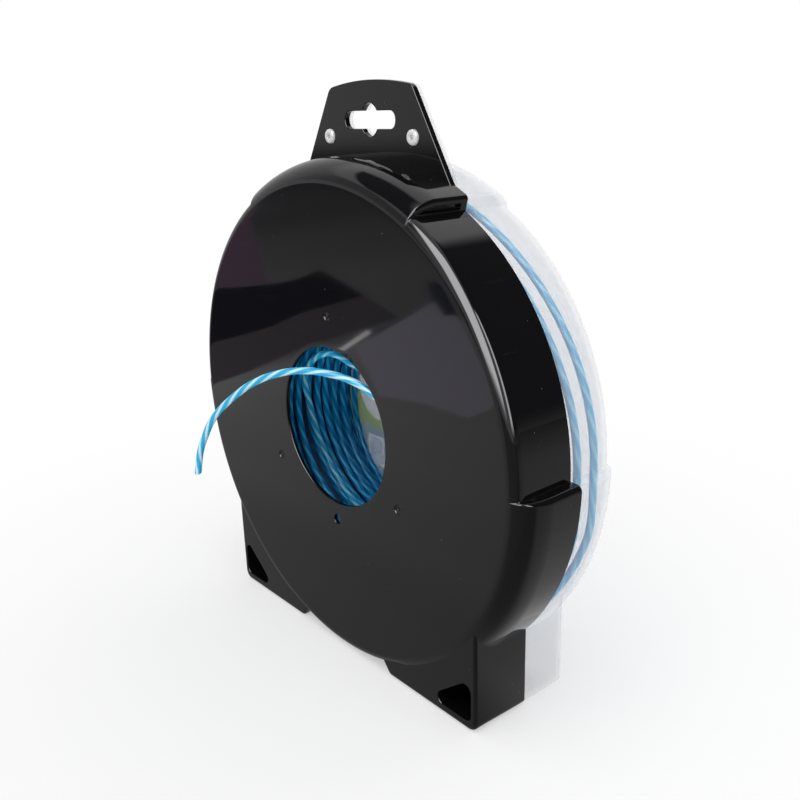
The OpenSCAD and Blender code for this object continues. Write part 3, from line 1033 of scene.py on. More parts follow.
@dataclass(frozen=True)
class LineSizes:
    """Sizes and places of the line in millimetres."""

    case: CaseSizes
    diameter: float = 3.0
    gap: float = 0.3
    sag: float = 8.0
    inner_turn_r: float = 48.5
    inner_turns: float = 12.0
    inner_wander: float = 0.5
    leave_angle: float = -10.0
    outer_turn_r: float = 102.8
    outer_turns: float = 2.6
    outer_start: float = 8.6
    outer_pitch: float = 9.7
    outer_waver: float = 4.5
    stripe_pitch: float = 32.0

    @property
    def coil_z(self) -> float:
        """Height of the coil's middle."""
        return self.case.disc_z - self.sag

    @property
    def coil_front(self) -> float:
        """Depth of the coil's front, from the CAD coil's own box."""
        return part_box("line_coil")[0].y / MM

    @property
    def coil_back(self) -> float:
        """Depth of the coil's back, from the CAD coil's own box."""
        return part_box("line_coil")[1].y / MM


def round_axis(angle: Array, radius: Array, depth: Array, height: float) -> Array:
    """Points at angles and radii about an axis that runs along the depth, at a height."""
    return np.stack([radius * np.cos(angle), depth, height + radius * np.sin(angle)], axis=-1)


def off_axis(path: Array, height: float) -> Array:
    """Directions in which a path's points lie off such an axis."""
    return path * np.array([1, 0, 1]) - np.array([0, 0, height])


def curve_through(points: Array, steps: int) -> Array:
    """A smooth curve through points: the slope at each is half of its neighbours' step.

    Args:
        points: the points, one in each row.
        steps: steps between two points.

    Returns:
        The points of the curve.
    """
    extended = np.concatenate([[2 * points[0] - points[1]], points, [2 * points[-1] - points[-2]]])
    p0, p1, p2, p3 = (extended[i:len(extended) - 3 + i, None] for i in range(4))
    t = np.linspace(0, 1, steps, endpoint=False)[None, :, None]
    curve = 0.5 * (2 * p1 + (p2 - p0) * t + (2 * p0 - 5 * p1 + 4 * p2 - p3) * t ** 2
                   + (3 * p1 - p0 - 3 * p2 + p3) * t ** 3)
    return np.concatenate([curve.reshape(-1, points.shape[1]), points[-1:]])


def tube(name: str, path: Array, outward: Array, diameter: float, sides: int, pitch: float,
         taper: Callable[[Array, Array], Array] | None = None) -> bpy.types.Object:
    """A tube along a path, with a UV map that runs round it and along it.

    The first side of each ring points as nearly outward as it can while square to the path. The
    map's first value is the share of the way round, and its second the length over the pitch.

    Args:
        name: the object's name.
        path: the points of the path, in millimetres.
        outward: a direction at each point that steers the ring.
        diameter: the tube's diameter.
        sides: points on each ring.
        pitch: length of one twist of the stripe.
        taper: an optional change of the rings, given the rings and the path's directions.

    Returns:
        The tube's object.
    """
    way = unit(np.gradient(path, axis=0))
    first = unit(outward - np.sum(outward * way, axis=-1, keepdims=True) * way)
    second = np.cross(way, first)
    angle = np.linspace(0, 2 * np.pi, sides, endpoint=False)[None, :, None]
    spokes = np.cos(angle) * first[:, None] + np.sin(angle) * second[:, None]
    rings = path[:, None] + diameter / 2 * spokes
    if taper is not None:
        rings = taper(rings, way)
    solid = Solid.from_rings(rings)
    made = solid.to_object(name)
    length = np.concatenate([[0], np.cumsum(np.linalg.norm(np.diff(path, axis=0), axis=-1))])
    mesh = made.data
    corner_points = np.empty(len(mesh.loops), dtype=np.int64)
    mesh.loops.foreach_get("vertex_index", corner_points)
    ring, side = np.divmod(corner_points, sides)
    face_of = np.repeat(np.arange(len(mesh.polygons)), [p.loop_total for p in mesh.polygons])
    wraps = np.zeros(len(mesh.polygons), dtype=bool)
    np.logical_or.at(wraps, face_of, side == sides - 1)
    across = np.where(wraps[face_of] & (side == 0), sides, side) / sides
    uv = np.stack([across, length[ring] / pitch], axis=-1)
    layer = mesh.uv_layers.new(name="line_uv")
    layer.data.foreach_set("uv", uv.astype(np.float32).ravel())
    mesh.shade_smooth()
    return made


@dataclass(frozen=True)
class FreeEnd:
    """The pulled-out end of the line, from the innermost turn through the outlet to its cut tip."""

    line: LineSizes
    sides: int = 28
    curve_steps: int = 12
    tip_lean: float = 0.28
    tip_sharp: float = 50.0
    plane: tuple[float, float, float] = (-0.44, 0.89, -0.12)
    points: tuple[tuple[float, float, float], ...] = (
        (47.4, -21.8, 103.9), (45.4, -21.8, 109.4), (42, -21.7, 114.4), (37, -21.6, 119.4),
        (31, -21.6, 123.4), (24.5, -23.4, 127.4), (18.5, -26.2, 130.9), (12, -29.5, 132.9),
        (5, -33, 133.9), (-2, -36.5, 133.9), (-8.5, -40, 132.9), (-15, -43.5, 130.9),
        (-21.5, -47, 127.9), (-27.5, -50.5, 123.9), (-33, -54, 118.9), (-38.5, -57, 113.4),
        (-42.5, -60, 107.4), (-45.5, -62.2, 100.4), (-47.2, -64.5, 92.9), (-47.8, -66.3, 83.4),
    )

    def route(self) -> Array:
        """The route's points: a diameter straight on from the innermost turns, then the listed
        points.
        """
        turns = InnerTurns(self.line)
        rings = TURN_RINGS * int(self.line.inner_turns)
        share = np.arange(rings + 1) / rings
        path = turns.cad_path(share)
        onward = unit(3 * path[-1] - 4 * path[-2] + path[-3])
        start = path[-1] + self.line.diameter * onward
        way = unit(start - path[-2])
        return np.concatenate([[start, start + self.line.diameter * way], np.array(self.points)])

    def build(self) -> bpy.types.Object:
        """The free end as a round tube with an oblique cut at its tip.

        Returns:
            The tube's object.
        """
        route = self.route()
        path = curve_through(route, self.curve_steps)
        outward = np.broadcast_to(np.array(self.plane), path.shape)

        def cut(rings: Array, way: Array) -> Array:
            """Slants the last ring by a share of the diameter to each side of the tip's middle."""
            lean = np.linspace(-1, 1, self.sides // 2)
            lean = np.concatenate([lean, lean[::-1]])
            rings[-1] += self.tip_lean * self.line.diameter * lean[:, None] * way[-1]
            return rings

        made = tube("line_end", path, outward, self.line.diameter, self.sides,
                    self.line.stripe_pitch, cut)
        made.data.set_sharp_from_angle(angle=math.radians(self.tip_sharp))
        return made


@dataclass(frozen=True)
class InnerTurns:
    """The innermost turns of the coil, two deep, with one loose turn over them.

    Attributes:
        line: the sizes of the line.
        visible_turns: how many turns are laid, the loose one among them.
        under_r: radius of the turns that lie below, and over_r of those that lie on top.
        front_room: how far the foremost layer stays behind the coil's front.
        change_share: share of a turn over which the line changes between the two.
        still: how far from a change a turn begins to stray, as a squared sine.
        ease: the further squared sine over which it comes to stray.
        fan: how strongly the turns crowd forward above the middle.
        stray: each turn's own cosine and sine of depth.
        loose: angle, radius and depth of points on the loose turn.
    """

    line: LineSizes
    sides: int = 16
    steps: int = 72
    visible_turns: int = 17
    under_r: float = 50.4
    over_r: float = 47.3
    front_room: float = 1.2
    change_share: float = 0.12
    still: float = 0.05
    ease: float = 0.5
    bridge_steps: int = 10
    fan: float = 0.22
    stray: tuple[tuple[float, float], ...] = (
        (1.5, -0.4), (-0.9, 0.5), (0.2, 0.8), (1.1, -0.3), (-0.5, -0.9), (0.7, 0.6),
        (-1.0, 0.2), (0.4, -0.8), (0.9, 0.7), (-0.6, -0.2), (0.1, 1.0), (-0.8, -0.5),
        (1.0, 0.3), (-0.3, 0.9), (0.5, -1.0), (-0.7, 0.4),
    )
    loose: tuple[tuple[float, float, float], ...] = (
        (-330, 43.5, -19.6), (-305, 40.5, -20.0), (-283, 38.0, -20.0), (-266, 38.6, -19.4),
        (-249, 39.2, -17.6), (-236, 40.2, -15.8), (-222, 41.8, -14.2), (-210, 43.2, -12.6),
        (-200, 43.9, -10.6), (-187, 44.2, -7.4), (-173, 44.2, -5.2), (-145, 44.2, -2.6),
        (-110, 44.2, -2.4), (-85, 44.2, -4.5), (-60, 44.6, -9.0), (-38, 46.0, -14.5),
        (-22, 47.8, -18.4),
    )

    def cad_path(self, share: Array) -> Array:
        """The layer's helix: its radius wanders, and its depth runs evenly to the front."""
        line = self.line
        angle = line.leave_angle + 360 * line.inner_turns * (share - 1)
        wander = np.sin(np.radians(1.7 * angle)) * np.minimum(1, 12 * (1 - share))
        radius = line.inner_turn_r + line.inner_wander * wander
        start = line.coil_back - line.diameter / 2
        end = line.coil_front + line.diameter / 2 + line.gap
        return round_axis(np.radians(angle), radius, start + (end - start) * share, line.coil_z)

    def layers(self) -> Array:
        """The turns below the loose one, as angle, radius and depth.

        Every other turn lies on top of its neighbours, and the change falls where the turns pass
        the right-hand side. The depth goes as a power of the turn's place, which crowds the turns
        forward above the middle and spreads them below it, and each turn strays by a sine and a
        cosine of its own.

        Returns:
            One row for each step.
        """
        line = self.line
        count = self.visible_turns - 1
        rings = self.steps * count
        share = np.arange(rings + 1) / rings
        angle = line.leave_angle + 360 * (count * (share - 1) - 1)
        turn = angle / 360 + self.visible_turns + 1
        whole = np.floor(turn + 0.5)
        change = smooth_step(((turn - whole) / self.change_share + 1) / 2)
        even = whole % 2
        level = even * change + (1 - even) * (1 - change)
        away = np.sin(np.pi * (turn - 0.5 - np.floor(turn - 0.5) - 0.5)) ** 2
        seen = smooth_step((away - self.still) / self.ease)
        place = np.floor(turn).astype(int) % len(self.stray)
        stray = np.array(self.stray)[place]
        turned = np.radians(angle)
        fan = 1 + seen * self.fan * np.sin(turned)
        start = line.coil_back - line.diameter / 2
        end = line.coil_front + line.diameter / 2 + self.front_room
        back_share = np.power(np.clip(1 - share, 0, 1), fan)
        depth = end + (start - end) * back_share
        depth = depth + seen * (stray[:, 0] * np.cos(turned) + stray[:, 1] * np.sin(turned))
        depth = np.clip(depth, end, start)
        radius = self.under_r - (self.under_r - self.over_r) * level
        return np.stack([angle, radius, depth], axis=-1)

    def build(self) -> bpy.types.Object:
        """The turns as one tube: the crowded layers, with the loose turn in slot 1.

        Returns:
            The tube's object.
        """
        line = self.line
        rows = self.layers()
        last = self.cad_path(np.array([1.0]))[0]
        loose = np.array(self.loose)
        head = np.array([[rows[-1, 0] - 12, rows[-1, 1], rows[-1, 2]], rows[-1]])
        tail = np.array([[line.leave_angle - 4, line.inner_turn_r, last[1] + 0.05],
                         [line.leave_angle, line.inner_turn_r, last[1]]])
        bridge = curve_through(np.concatenate([head, loose, tail]),
                               self.bridge_steps)[self.bridge_steps:]
        rows = np.concatenate([rows[:-1], bridge])
        path = round_axis(np.radians(rows[:, 0]), rows[:, 1], rows[:, 2], line.coil_z)
        path[-1] = last
        made = tube("inner_turns", path, off_axis(path, line.coil_z), line.diameter, self.sides,
                    line.stripe_pitch)
        first_loose = self.sides * self.steps * (self.visible_turns - 1)
        numbers = np.arange(len(made.data.polygons))
        made.data.polygons.foreach_set("material_index", (numbers >= first_loose).astype(np.int32))
        return made


@dataclass(frozen=True)
class OuterTurns:
    """The loose turns that lie round the inside of the wall."""

    line: LineSizes
    sides: int = 16
    steps: int = 96
    bulge_by: float = 3.0
    bulge_from: float = 2.0
    bulge_to: float = 62.0
    bulge_in: float = 16.0
    bulge_out: float = 24.0
    waver_turn: float = 5.0

    def build(self) -> bpy.types.Object:
        """The loose turns as one tube, which waver and lie further out in the raised stretches.

        The depth runs back evenly and wavers twice a turn. The radius grows by a smooth bump
        between two angles below the disc's middle.

        Returns:
            The tube's object.
        """
        line = self.line
        share = np.linspace(0, 1, int(self.steps * line.outer_turns))
        turns = line.outer_turns * share
        angle = 90 - 360 * turns
        waver = line.outer_waver * np.cos(np.radians(2 * (angle + self.waver_turn)))
        depth = line.case.part_y - line.outer_start + line.outer_pitch * turns + waver
        below = -np.degrees(np.arcsin(np.sin(np.radians(angle))))
        bump = (smooth_step((below - self.bulge_from) / self.bulge_in)
                * smooth_step((self.bulge_to - below) / self.bulge_out))
        radius = line.outer_turn_r + self.bulge_by * bump
        path = round_axis(np.radians(angle), radius, depth, line.case.disc_z)
        return tube("outer_turns", path, off_axis(path, line.case.disc_z), line.diameter,
                    self.sides, line.stripe_pitch)


@dataclass(frozen=True)
class WoundCoil:
    """The coil's body: a core of painted shade under one visible layer of turns, in millimetres."""

    line: LineSizes
    bore_r: float = 50.8
    back_r: float = 74.0
    core_r: float = 92.1
    knee: float = 3.0
    lift: float = 3.1
    bundle_pitch: float = 12.0
    bundle_h: float = 1.2
    core_share: float = 0.8
    waver: float = 0.3
    waver_rate: float = 0.71
    rounds: tuple[float, ...] = (3.0, 3.0, 8.0, 12.0, 8.0)
    sides: int = 8
    steps: int = 72

    def section(self, inset: float) -> Array:
        """The coil's half section as radius and depth, rounded, drawn in by the inset."""
        line = self.line
        knee_y = line.case.part_y - self.knee
        corners = np.array([
            [self.bore_r, line.coil_back], [self.bore_r, line.coil_front],
            [self.core_r, line.coil_front],
            [self.core_r, knee_y], [self.back_r, line.coil_back],
        ])
        return rounded_outlines(corners, np.array(self.rounds), np.array([inset]))[0]

    def round_section(self, inset: float) -> Array:
        """The section, with its first corner's arc once more at its end."""
        section = self.section(inset)
        return np.concatenate([section, section[:ROUND_STEPS + 1]])

    def build(self) -> list[bpy.types.Object]:
        """The core, and one tube wound over it from the bore's front round to the bore's back.

        The tube lies in bundles: it sinks between two crests by the square of its share of the way
        from a crest to the groove.

        Returns:
            The core's object and the tube's object.
        """
        line = self.line
        inner = self.section(line.diameter * self.core_share)
        angle = np.linspace(0, 2 * np.pi, 144, endpoint=False)[:, None]
        depth = np.broadcast_to(inner[:, 1], (len(angle), len(inner)))
        rings = round_axis(angle, inner[:, 0], depth, line.coil_z)
        count, columns = rings.shape[:2]
        numbers = np.arange(count * columns).reshape(count, columns)
        beside, onward = np.roll(numbers, -1, axis=1), np.roll(numbers, -1, axis=0)
        quads = np.stack([numbers, beside, np.roll(beside, -1, axis=0), onward],
                         axis=-1).reshape(-1, 4)
        core = smoothed(Solid(rings.reshape(-1, 3), quads).to_object("coil_core"))
        around = self.round_section(line.diameter / 2)
        reach = np.concatenate([[0], np.cumsum(np.linalg.norm(np.diff(around, axis=0), axis=-1))])
        start = reach[ROUND_STEPS + 3]
        turns = (reach[-1] - start) / self.lift
        share = np.linspace(0, 1, int(self.steps * turns))
        turn = 2 * np.pi * turns * share
        along = start + (reach[-1] - start) * share + self.waver * np.sin(self.waver_rate * turn)
        along = np.clip(along, start, reach[-1])
        bundles = round(reach[-1] / self.bundle_pitch)
        place = along / reach[-1] * bundles
        groove = (2 * np.abs(place - np.round(place))) ** 2
        sunk = self.round_section(line.diameter / 2 + self.bundle_h)
        radius, depth = (
            (1 - groove) * np.interp(along, reach, crest) + groove * np.interp(along, reach, low)
            for crest, low in zip(around.T, sunk.T)
        )
        path = round_axis(turn, radius, depth, line.coil_z)
        wound = tube("wound_layer", path, off_axis(path, line.coil_z), line.diameter, self.sides,
                     line.stripe_pitch)
        return [core, wound]


# ---------------------------------------------------------------- finishes


Socket = bpy.types.NodeSocket
Colour = tuple[float, float, float]
BLACK = (0.0, 0.0, 0.0)
WHITE = (1.0, 1.0, 1.0)


class Nodes:
    """The node tree of a material or a world, with short ways to add and join nodes."""

    def __init__(self, owner: bpy.types.Material | bpy.types.World) -> None:
        """Empties the owner's tree."""
        owner.use_nodes = True
        self.owner = owner
        self.tree = owner.node_tree
        self.tree.nodes.clear()

    @classmethod
    def of_material(cls, name: str) -> "Nodes":
        """The empty tree of a new material."""
        return cls(bpy.data.materials.new(name))

    def add(self, kind: str, inputs: dict | None = None, **settings: object) -> bpy.types.Node:
        """Adds a node.

        Args:
            kind: the node's type, without its ShaderNode prefix.
            inputs: values or outputs for its sockets, by name or number.
            settings: the node's own settings.

        Returns:
            The new node.
        """
        node = self.tree.nodes.new("ShaderNode" + kind)
        for key, value in settings.items():
            setattr(node, key, value)
        for key, value in (inputs or {}).items():
            if isinstance(value, bpy.types.NodeSocket):
                self.tree.links.new(value, node.inputs[key])
            else:
                node.inputs[key].default_value = value
        return node

    def place(self) -> Socket:
        """Adds the object's own coordinates."""
        return self.add("TexCoord").outputs["Object"]

    def math(self, how: str, *values: Socket | float) -> Socket:
        """Adds a step of arithmetic."""
        return self.add("Math", dict(enumerate(values)), operation=how).outputs[0]

    def vector(self, how: str, *values: Socket | Sequence[float]) -> Socket:
        """Adds a step of arithmetic on vectors."""
        outputs = self.add("VectorMath", dict(enumerate(values)), operation=how).outputs
        return outputs["Value" if how == "LENGTH" else "Vector"]

    def split(self, vector: Socket) -> bpy.types.NodeOutputs:
        """Adds the three parts of a vector."""
        return self.add("SeparateXYZ", {"Vector": vector}).outputs

    def noise(self, place: Socket, scale: float, detail: float, **more: float) -> Socket:
        """Adds cloudy noise, as a share."""
        inputs = {"Vector": place, "Scale": scale, "Detail": detail, **more}
        return self.add("TexNoise", inputs).outputs["Fac"]

    def bump(self, height: Socket, strength: float, distance: float) -> Socket:
        """Adds relief, as a normal."""
        inputs = {"Height": height, "Strength": strength, "Distance": distance}
        return self.add("Bump", inputs).outputs["Normal"]

    def mix(self, factor: Socket | float, first: object, second: object,
            how: str = "MIX") -> Socket:
        """Adds a mix of two colours."""
        inputs = {"Factor": factor, 6: first, 7: second}
        return self.add("Mix", inputs, data_type="RGBA", blend_type=how).outputs[2]

    def mapped(self, value: Socket, source: Sequence[float], target: Sequence[float] = (0.0, 1.0),
               smooth: bool = False) -> Socket:
        """Adds a change of range.

        Args:
            value: what is mapped.
            source: the two ends that it comes from.
            target: the two ends that it goes to.
            smooth: whether it eases at both ends.

        Returns:
            The mapped value, held between the ends.
        """
        inputs = {"Value": value, "From Min": source[0], "From Max": source[1],
                  "To Min": target[0], "To Max": target[1]}
        how = "SMOOTHSTEP" if smooth else "LINEAR"
        return self.add("MapRange", inputs, interpolation_type=how).outputs["Result"]

    def blend(self, factor: Socket | float, first: Socket, second: Socket) -> Socket:
        """Adds a mix of two surfaces."""
        return self.add("MixShader", {0: factor, 1: first, 2: second}).outputs[0]

    def plastic(self, colour: Socket | Sequence[float], roughness: Socket | float,
                inputs: dict | None = None) -> Socket:
        """Adds a plastic surface, with further inputs by name."""
        both = {"Base Color": colour, "Roughness": roughness, **(inputs or {})}
        return self.add("BsdfPrincipled", both).outputs["BSDF"]

    def glow(self, colour: Socket | Sequence[float], strength: float = 1.0) -> Socket:
        """Adds a surface that gives its own light."""
        return self.add("Emission", {"Color": colour, "Strength": strength}).outputs["Emission"]

    def ramp(self, factor: Socket, stops: Sequence[tuple[float, Sequence[float]]],
             smooth: bool = True) -> Socket:
        """Adds a colour ramp.

        Args:
            factor: what drives it.
            stops: positions and their colours.
            smooth: whether it eases between stops.

        Returns:
            Its colour output.
        """
        node = self.add("ValToRGB", {"Fac": factor})
        node.color_ramp.interpolation = "EASE" if smooth else "LINEAR"
        elements = node.color_ramp.elements
        while len(elements) < len(stops):
            elements.new(0.5)
        for element, (position, colour) in zip(elements, stops):
            element.position = position
            element.color = (*colour[:3], 1.0)
        return node.outputs["Color"]

    def finish(self, surface: Socket,
               kind: str = "OutputMaterial") -> bpy.types.Material | bpy.types.World:
        """Joins the surface to the output and gives the tree's owner."""
        self.add(kind, {"Surface": surface})
        return self.owner


def soaking(scale: float) -> dict:
    """Inputs of a plastic that light soaks into, by the depth that it reaches in metres."""
    return {"Subsurface Weight": 1.0, "Subsurface Radius": WHITE, "Subsurface Scale": scale}


@dataclass(frozen=True)
class BlackPlastic:
    """Glossy black moulding with dust specks and fine handling marks."""

    colour: Colour = (0.004, 0.004, 0.0045)
    dust: Colour = (0.17, 0.165, 0.16)
    roughness: tuple[float, float] = (0.025, 0.06)
    specular: float = 0.42
    dot_r: float = 0.08
    rare: tuple[float, float] = (0.57, 0.64)

    def material(self) -> bpy.types.Material:
        """Builds the material: rare dots of dust over black, and a roughness that drifts.

        Returns:
            The black plastic.
        """
        nodes = Nodes.of_material("black_plastic")
        place = nodes.place()
        drift = nodes.noise(place, 45.0, 6.0, Roughness=0.6)
        specks = nodes.add("TexVoronoi", {"Vector": place, "Scale": 240.0, "Randomness": 1.0})
        dot = nodes.ramp(specks.outputs["Distance"], [(0.0, WHITE), (self.dot_r, BLACK)])
        chosen = nodes.ramp(nodes.noise(place, 95.0, 2.0),
                            [(self.rare[0], BLACK), (self.rare[1], WHITE)])
        dust = nodes.mix(1.0, dot, chosen, "MULTIPLY")
        stretched = nodes.add("Mapping", {
            "Vector": place, "Rotation": (0.3, 0.5, 0.2), "Scale": (1.0, 1.0, 26.0),
        })
        wiped = nodes.noise(stretched.outputs["Vector"], 30.0, 3.0)
        scratch = nodes.ramp(wiped, [(0.70, BLACK), (0.72, (0.05, 0.05, 0.05)), (0.74, BLACK)])
        marks = nodes.mix(1.0, dust, scratch, "ADD")
        colour = nodes.mix(marks, (*self.colour, 1), (*self.dust, 1))
        rough = nodes.mapped(drift, (0.3, 0.7), self.roughness)
        normal = nodes.bump(nodes.noise(place, 22.0, 1.0), 0.03, 0.0006)
        return nodes.finish(nodes.plastic(colour, rough, {
            "Specular IOR Level": self.specular, "Normal": normal,
        }))


@dataclass(frozen=True)
class FrostedPlastic:
    """Milky translucent moulding."""

    colour: Colour = (0.86, 0.86, 0.86)
    name: str = "frosted_plastic"
    clear_share: float = 0.85
    roughness: float = 0.30
    soak: float = 0.0015
    cloudiness: float = 0.97
    clear_tint: Colour = (0.975, 0.978, 0.985)

    def material(self) -> bpy.types.Material:
        """Builds the material: a clear share over a milky one that light soaks into.

        Returns:
            The frosted plastic.
        """
        nodes = Nodes.of_material(self.name)
        place = nodes.place()
        darker = [c * self.cloudiness for c in self.colour]
        colour = nodes.ramp(nodes.noise(place, 30.0, 4.0), [(0.3, darker), (0.7, self.colour)])
        normal = nodes.bump(nodes.noise(place, 900.0, 2.0), 0.06, 0.0002)
        milky = nodes.plastic(colour, self.roughness, {**soaking(self.soak), "Normal": normal})
        clear = nodes.add("BsdfTransparent", {"Color": (*self.clear_tint, 1)})
        return nodes.finish(nodes.blend(self.clear_share, milky, clear.outputs["BSDF"]))


@dataclass(frozen=True)
class TwistedLine:
    """Drawn nylon in two colours, with soft streaks that twist round the line.

    Attributes:
        name: the material's name.
        blue: the ground.
        white: the streaks.
        specular: the gloss.
        streaks: how many streaks lie round the line.
        fade: share of a streak's spacing over which it comes and goes.
        wide: share of the spacing at which it starts to go.
        sway: how far a streak sways, as a share of the spacing.
        roughness: the roughness.
    """

    name: str = "blue_line"
    blue: Colour = (0.02, 0.46, 0.79)
    white: Colour = (0.60, 0.86, 0.96)
    specular: float = 0.35
    streaks: int = 3
    fade: float = 0.15
    wide: float = 0.38
    sway: float = 0.35
    roughness: float = 0.25

    def material(self) -> bpy.types.Material:
        """Builds the material: the share round plus the twists along decide between the colours.

        Returns:
            The streaked nylon.
        """
        nodes = Nodes.of_material(self.name)
        uv = nodes.add("UVMap", uv_map="line_uv").outputs["UV"]
        place = nodes.place()
        parts = nodes.split(uv)
        turned = nodes.math("ADD", parts["X"], parts["Y"])
        many = nodes.math("MULTIPLY", turned, float(self.streaks))
        swayed = nodes.math("MULTIPLY_ADD", nodes.noise(place, 60.0, 1.0), self.sway, many)
        stripe = nodes.ramp(nodes.math("FRACT", swayed), [
            (0.0, self.blue), (self.fade, self.white), (self.wide, self.white),
            (self.wide + self.fade, self.blue), (1.0, self.blue),
        ], smooth=False)
        shade = nodes.ramp(nodes.noise(place, 400.0, 3.0), [(0.3, (0.9, 0.9, 0.9)), (0.7, WHITE)])
        colour = nodes.mix(1.0, stripe, shade, "MULTIPLY")
        drawn = nodes.add("Mapping", {"Vector": uv, "Scale": (14.0, 2.0, 1.0)})
        normal = nodes.bump(nodes.noise(drawn.outputs["Vector"], 3.0, 2.0), 0.08, 0.0003)
        return nodes.finish(nodes.plastic(colour, self.roughness, {
            "Specular IOR Level": self.specular, "Normal": normal,
        }))


@dataclass(frozen=True)
class PaintedCoilShade:
    """Painted shade: very dark blue for the turns below the visible layer, which lie in shade."""

    colour: Colour = (0.001, 0.028, 0.09)
    cloudiness: float = 2.2
    roughness: float = 0.55

    def material(self) -> bpy.types.Material:
        """Builds the material.

        Returns:
            The dark core's painted shade.
        """
        nodes = Nodes.of_material("coil_painted_shade")
        paler = [c * self.cloudiness for c in self.colour]
        cloud = nodes.noise(nodes.place(), 120.0, 3.0)
        colour = nodes.ramp(cloud, [(0.35, self.colour), (0.7, paler)])
        return nodes.finish(nodes.plastic(colour, self.roughness))


@dataclass(frozen=True)
class LabelFilm:
    """Unlettered film: a pale panel with round corners, a green band under it, and a framed box.

    Sizes are in millimetres from the label's middle line and up from the floor.
    """

    ground: Colour = (0.42, 0.49, 0.57)
    pale: Colour = (0.90, 0.91, 0.93)
    green: Colour = (0.44, 0.54, 0.26)
    panel: tuple[float, float, float, float] = (0.0, 114.5, 47.5, 26.0)
    panel_r: float = 14.5
    window: Colour = (0.60, 0.66, 0.76)
    box: tuple[float, float, float, float] = (-36.4, 71.8, 6.1, 7.8)
    frame_w: float = 1.2
    band: tuple[float, float] = (82.0, 86.0)
    band_top: tuple[float, float] = (104.0, 100.0)
    box_r: float = 0.6
    window_r: float = 0.3
    fade: float = 0.6
    roughness: float = 0.4
    soak: float = 0.0007

    def inside(self, nodes: Nodes, place: Socket, form: Sequence[float], corner_r: float) -> Socket:
        """Whether a point lies in a rectangle with round corners.

        With q the distance from the middle less the half sides and plus the corner's radius, the
        length of q's positive part is held against the radius.

        Args:
            nodes: the material's tree.
            place: object coordinates.
            form: the middle's X and Z, and the half sides.
            corner_r: the corner's radius.

        Returns:
            1 inside and 0 outside, as a colour.
        """
        x, z, half_w, half_h = (v * MM for v in form)
        off = nodes.vector("SUBTRACT", place, (x, 0.0, z))
        flat = nodes.vector("MULTIPLY", off, (1.0, 0.0, 1.0))
        straight = (half_w - corner_r * MM, 0.0, half_h - corner_r * MM)
        past = nodes.vector("SUBTRACT", nodes.vector("ABSOLUTE", flat), straight)
        length = nodes.vector("LENGTH", nodes.vector("MAXIMUM", past, BLACK))
        half_fade = self.fade / 2
        return nodes.mapped(length, ((corner_r + half_fade) * MM, (corner_r - half_fade) * MM))

    def material(self) -> bpy.types.Material:
        """Builds the material: ground, then the band by height, then the box and the panel.

        Returns:
            The label's finish.
        """
        nodes = Nodes.of_material("label_film")
        place = nodes.place()
        height = nodes.split(place)["Z"]
        low, high = (nodes.mapped(height, [z * MM for z in ends])
                     for ends in (self.band, self.band_top))
        window = (*self.box[:2], self.box[2] - self.frame_w, self.box[3] - self.frame_w)
        mixed: Socket | tuple = (*self.ground, 1.0)
        for mask, colour in (
            (nodes.math("MULTIPLY", low, high), self.green),
            (self.inside(nodes, place, self.box, self.box_r), self.pale),
            (self.inside(nodes, place, window, self.window_r), self.window),
            (self.inside(nodes, place, self.panel, self.panel_r), self.pale),
        ):
            mixed = nodes.mix(mask, mixed, (*colour, 1.0))
        return nodes.finish(nodes.plastic(mixed, self.roughness, soaking(self.soak)))


# ---------------------------------------------------------------- the studio


@dataclass(frozen=True)
class Card:
    """A studio card that only mirrors see.

    Attributes:
        name: the card's name.
        corners: its corners in metres.
        tone: its light, where 1 is white.
        soft: share of its width and height over which its border fades, or 0 for a hard border.
    """

    name: str
    corners: tuple[tuple[float, float, float], ...]
    tone: Colour
    soft: float = 0.0

    def build(self) -> None:
        """Makes the card, seen by glossy rays alone."""
        mesh = bpy.data.meshes.new(self.name)
        mesh.from_pydata(self.corners, [], [tuple(range(len(self.corners)))])
        nodes = Nodes.of_material(self.name)
        surface = nodes.glow((*self.tone, 1.0))
        if self.soft:
            layer = mesh.uv_layers.new(name="card_uv")
            layer.data.foreach_set("uv", [0.0, 0.0, 1.0, 0.0, 1.0, 1.0, 0.0, 1.0])
            uv = nodes.add("UVMap", uv_map="card_uv").outputs["UV"]
            off = nodes.vector("SUBTRACT", uv, (0.5, 0.5, 0.0))
            away = nodes.split(nodes.vector("ABSOLUTE", off))
            furthest = nodes.math("MAXIMUM", away["X"], away["Y"])
            fade = nodes.mapped(furthest, (0.5 - self.soft, 0.5), smooth=True)
            surface = nodes.blend(fade, surface, nodes.add("BsdfTransparent").outputs["BSDF"])
        mesh.materials.append(nodes.finish(surface))
        card = bpy.data.objects.new(self.name, mesh)
        card.visible_camera = card.visible_diffuse = card.visible_transmission = False
        card.visible_shadow = card.visible_volume_scatter = False
        bpy.context.scene.collection.objects.link(card)


def on_floor(*corners: tuple[float, float],
             height: float = 0.001) -> tuple[tuple[float, float, float], ...]:
    """Corners of a card that lies on the floor, from millimetres."""
    return tuple((x * MM, y * MM, height) for x, y in corners)


@dataclass(frozen=True)
class Lamp:
    """An area lamp that stays out of the object's mirrors.

    Attributes:
        name: the lamp's name.
        place: where it hangs.
        size: its width and height.
        power: its power in watts.
    """

    name: str
    place: tuple[float, float, float]
    size: tuple[float, float]
    power: float

    def build(self, target: Sequence[float]) -> None:
        """Hangs the lamp so that it faces the target."""
        data = bpy.data.lights.new(self.name, "AREA")
        data.shape = "RECTANGLE"
        data.size, data.size_y = self.size
        data.energy = self.power
        lamp = bpy.data.objects.new(self.name, data)
        lamp.location = self.place
        back = Vector(self.place) - Vector(target)
        lamp.rotation_euler = back.to_track_quat("Z", "Y").to_euler()
        lamp.visible_glossy = lamp.visible_camera = False
        bpy.context.scene.collection.objects.link(lamp)


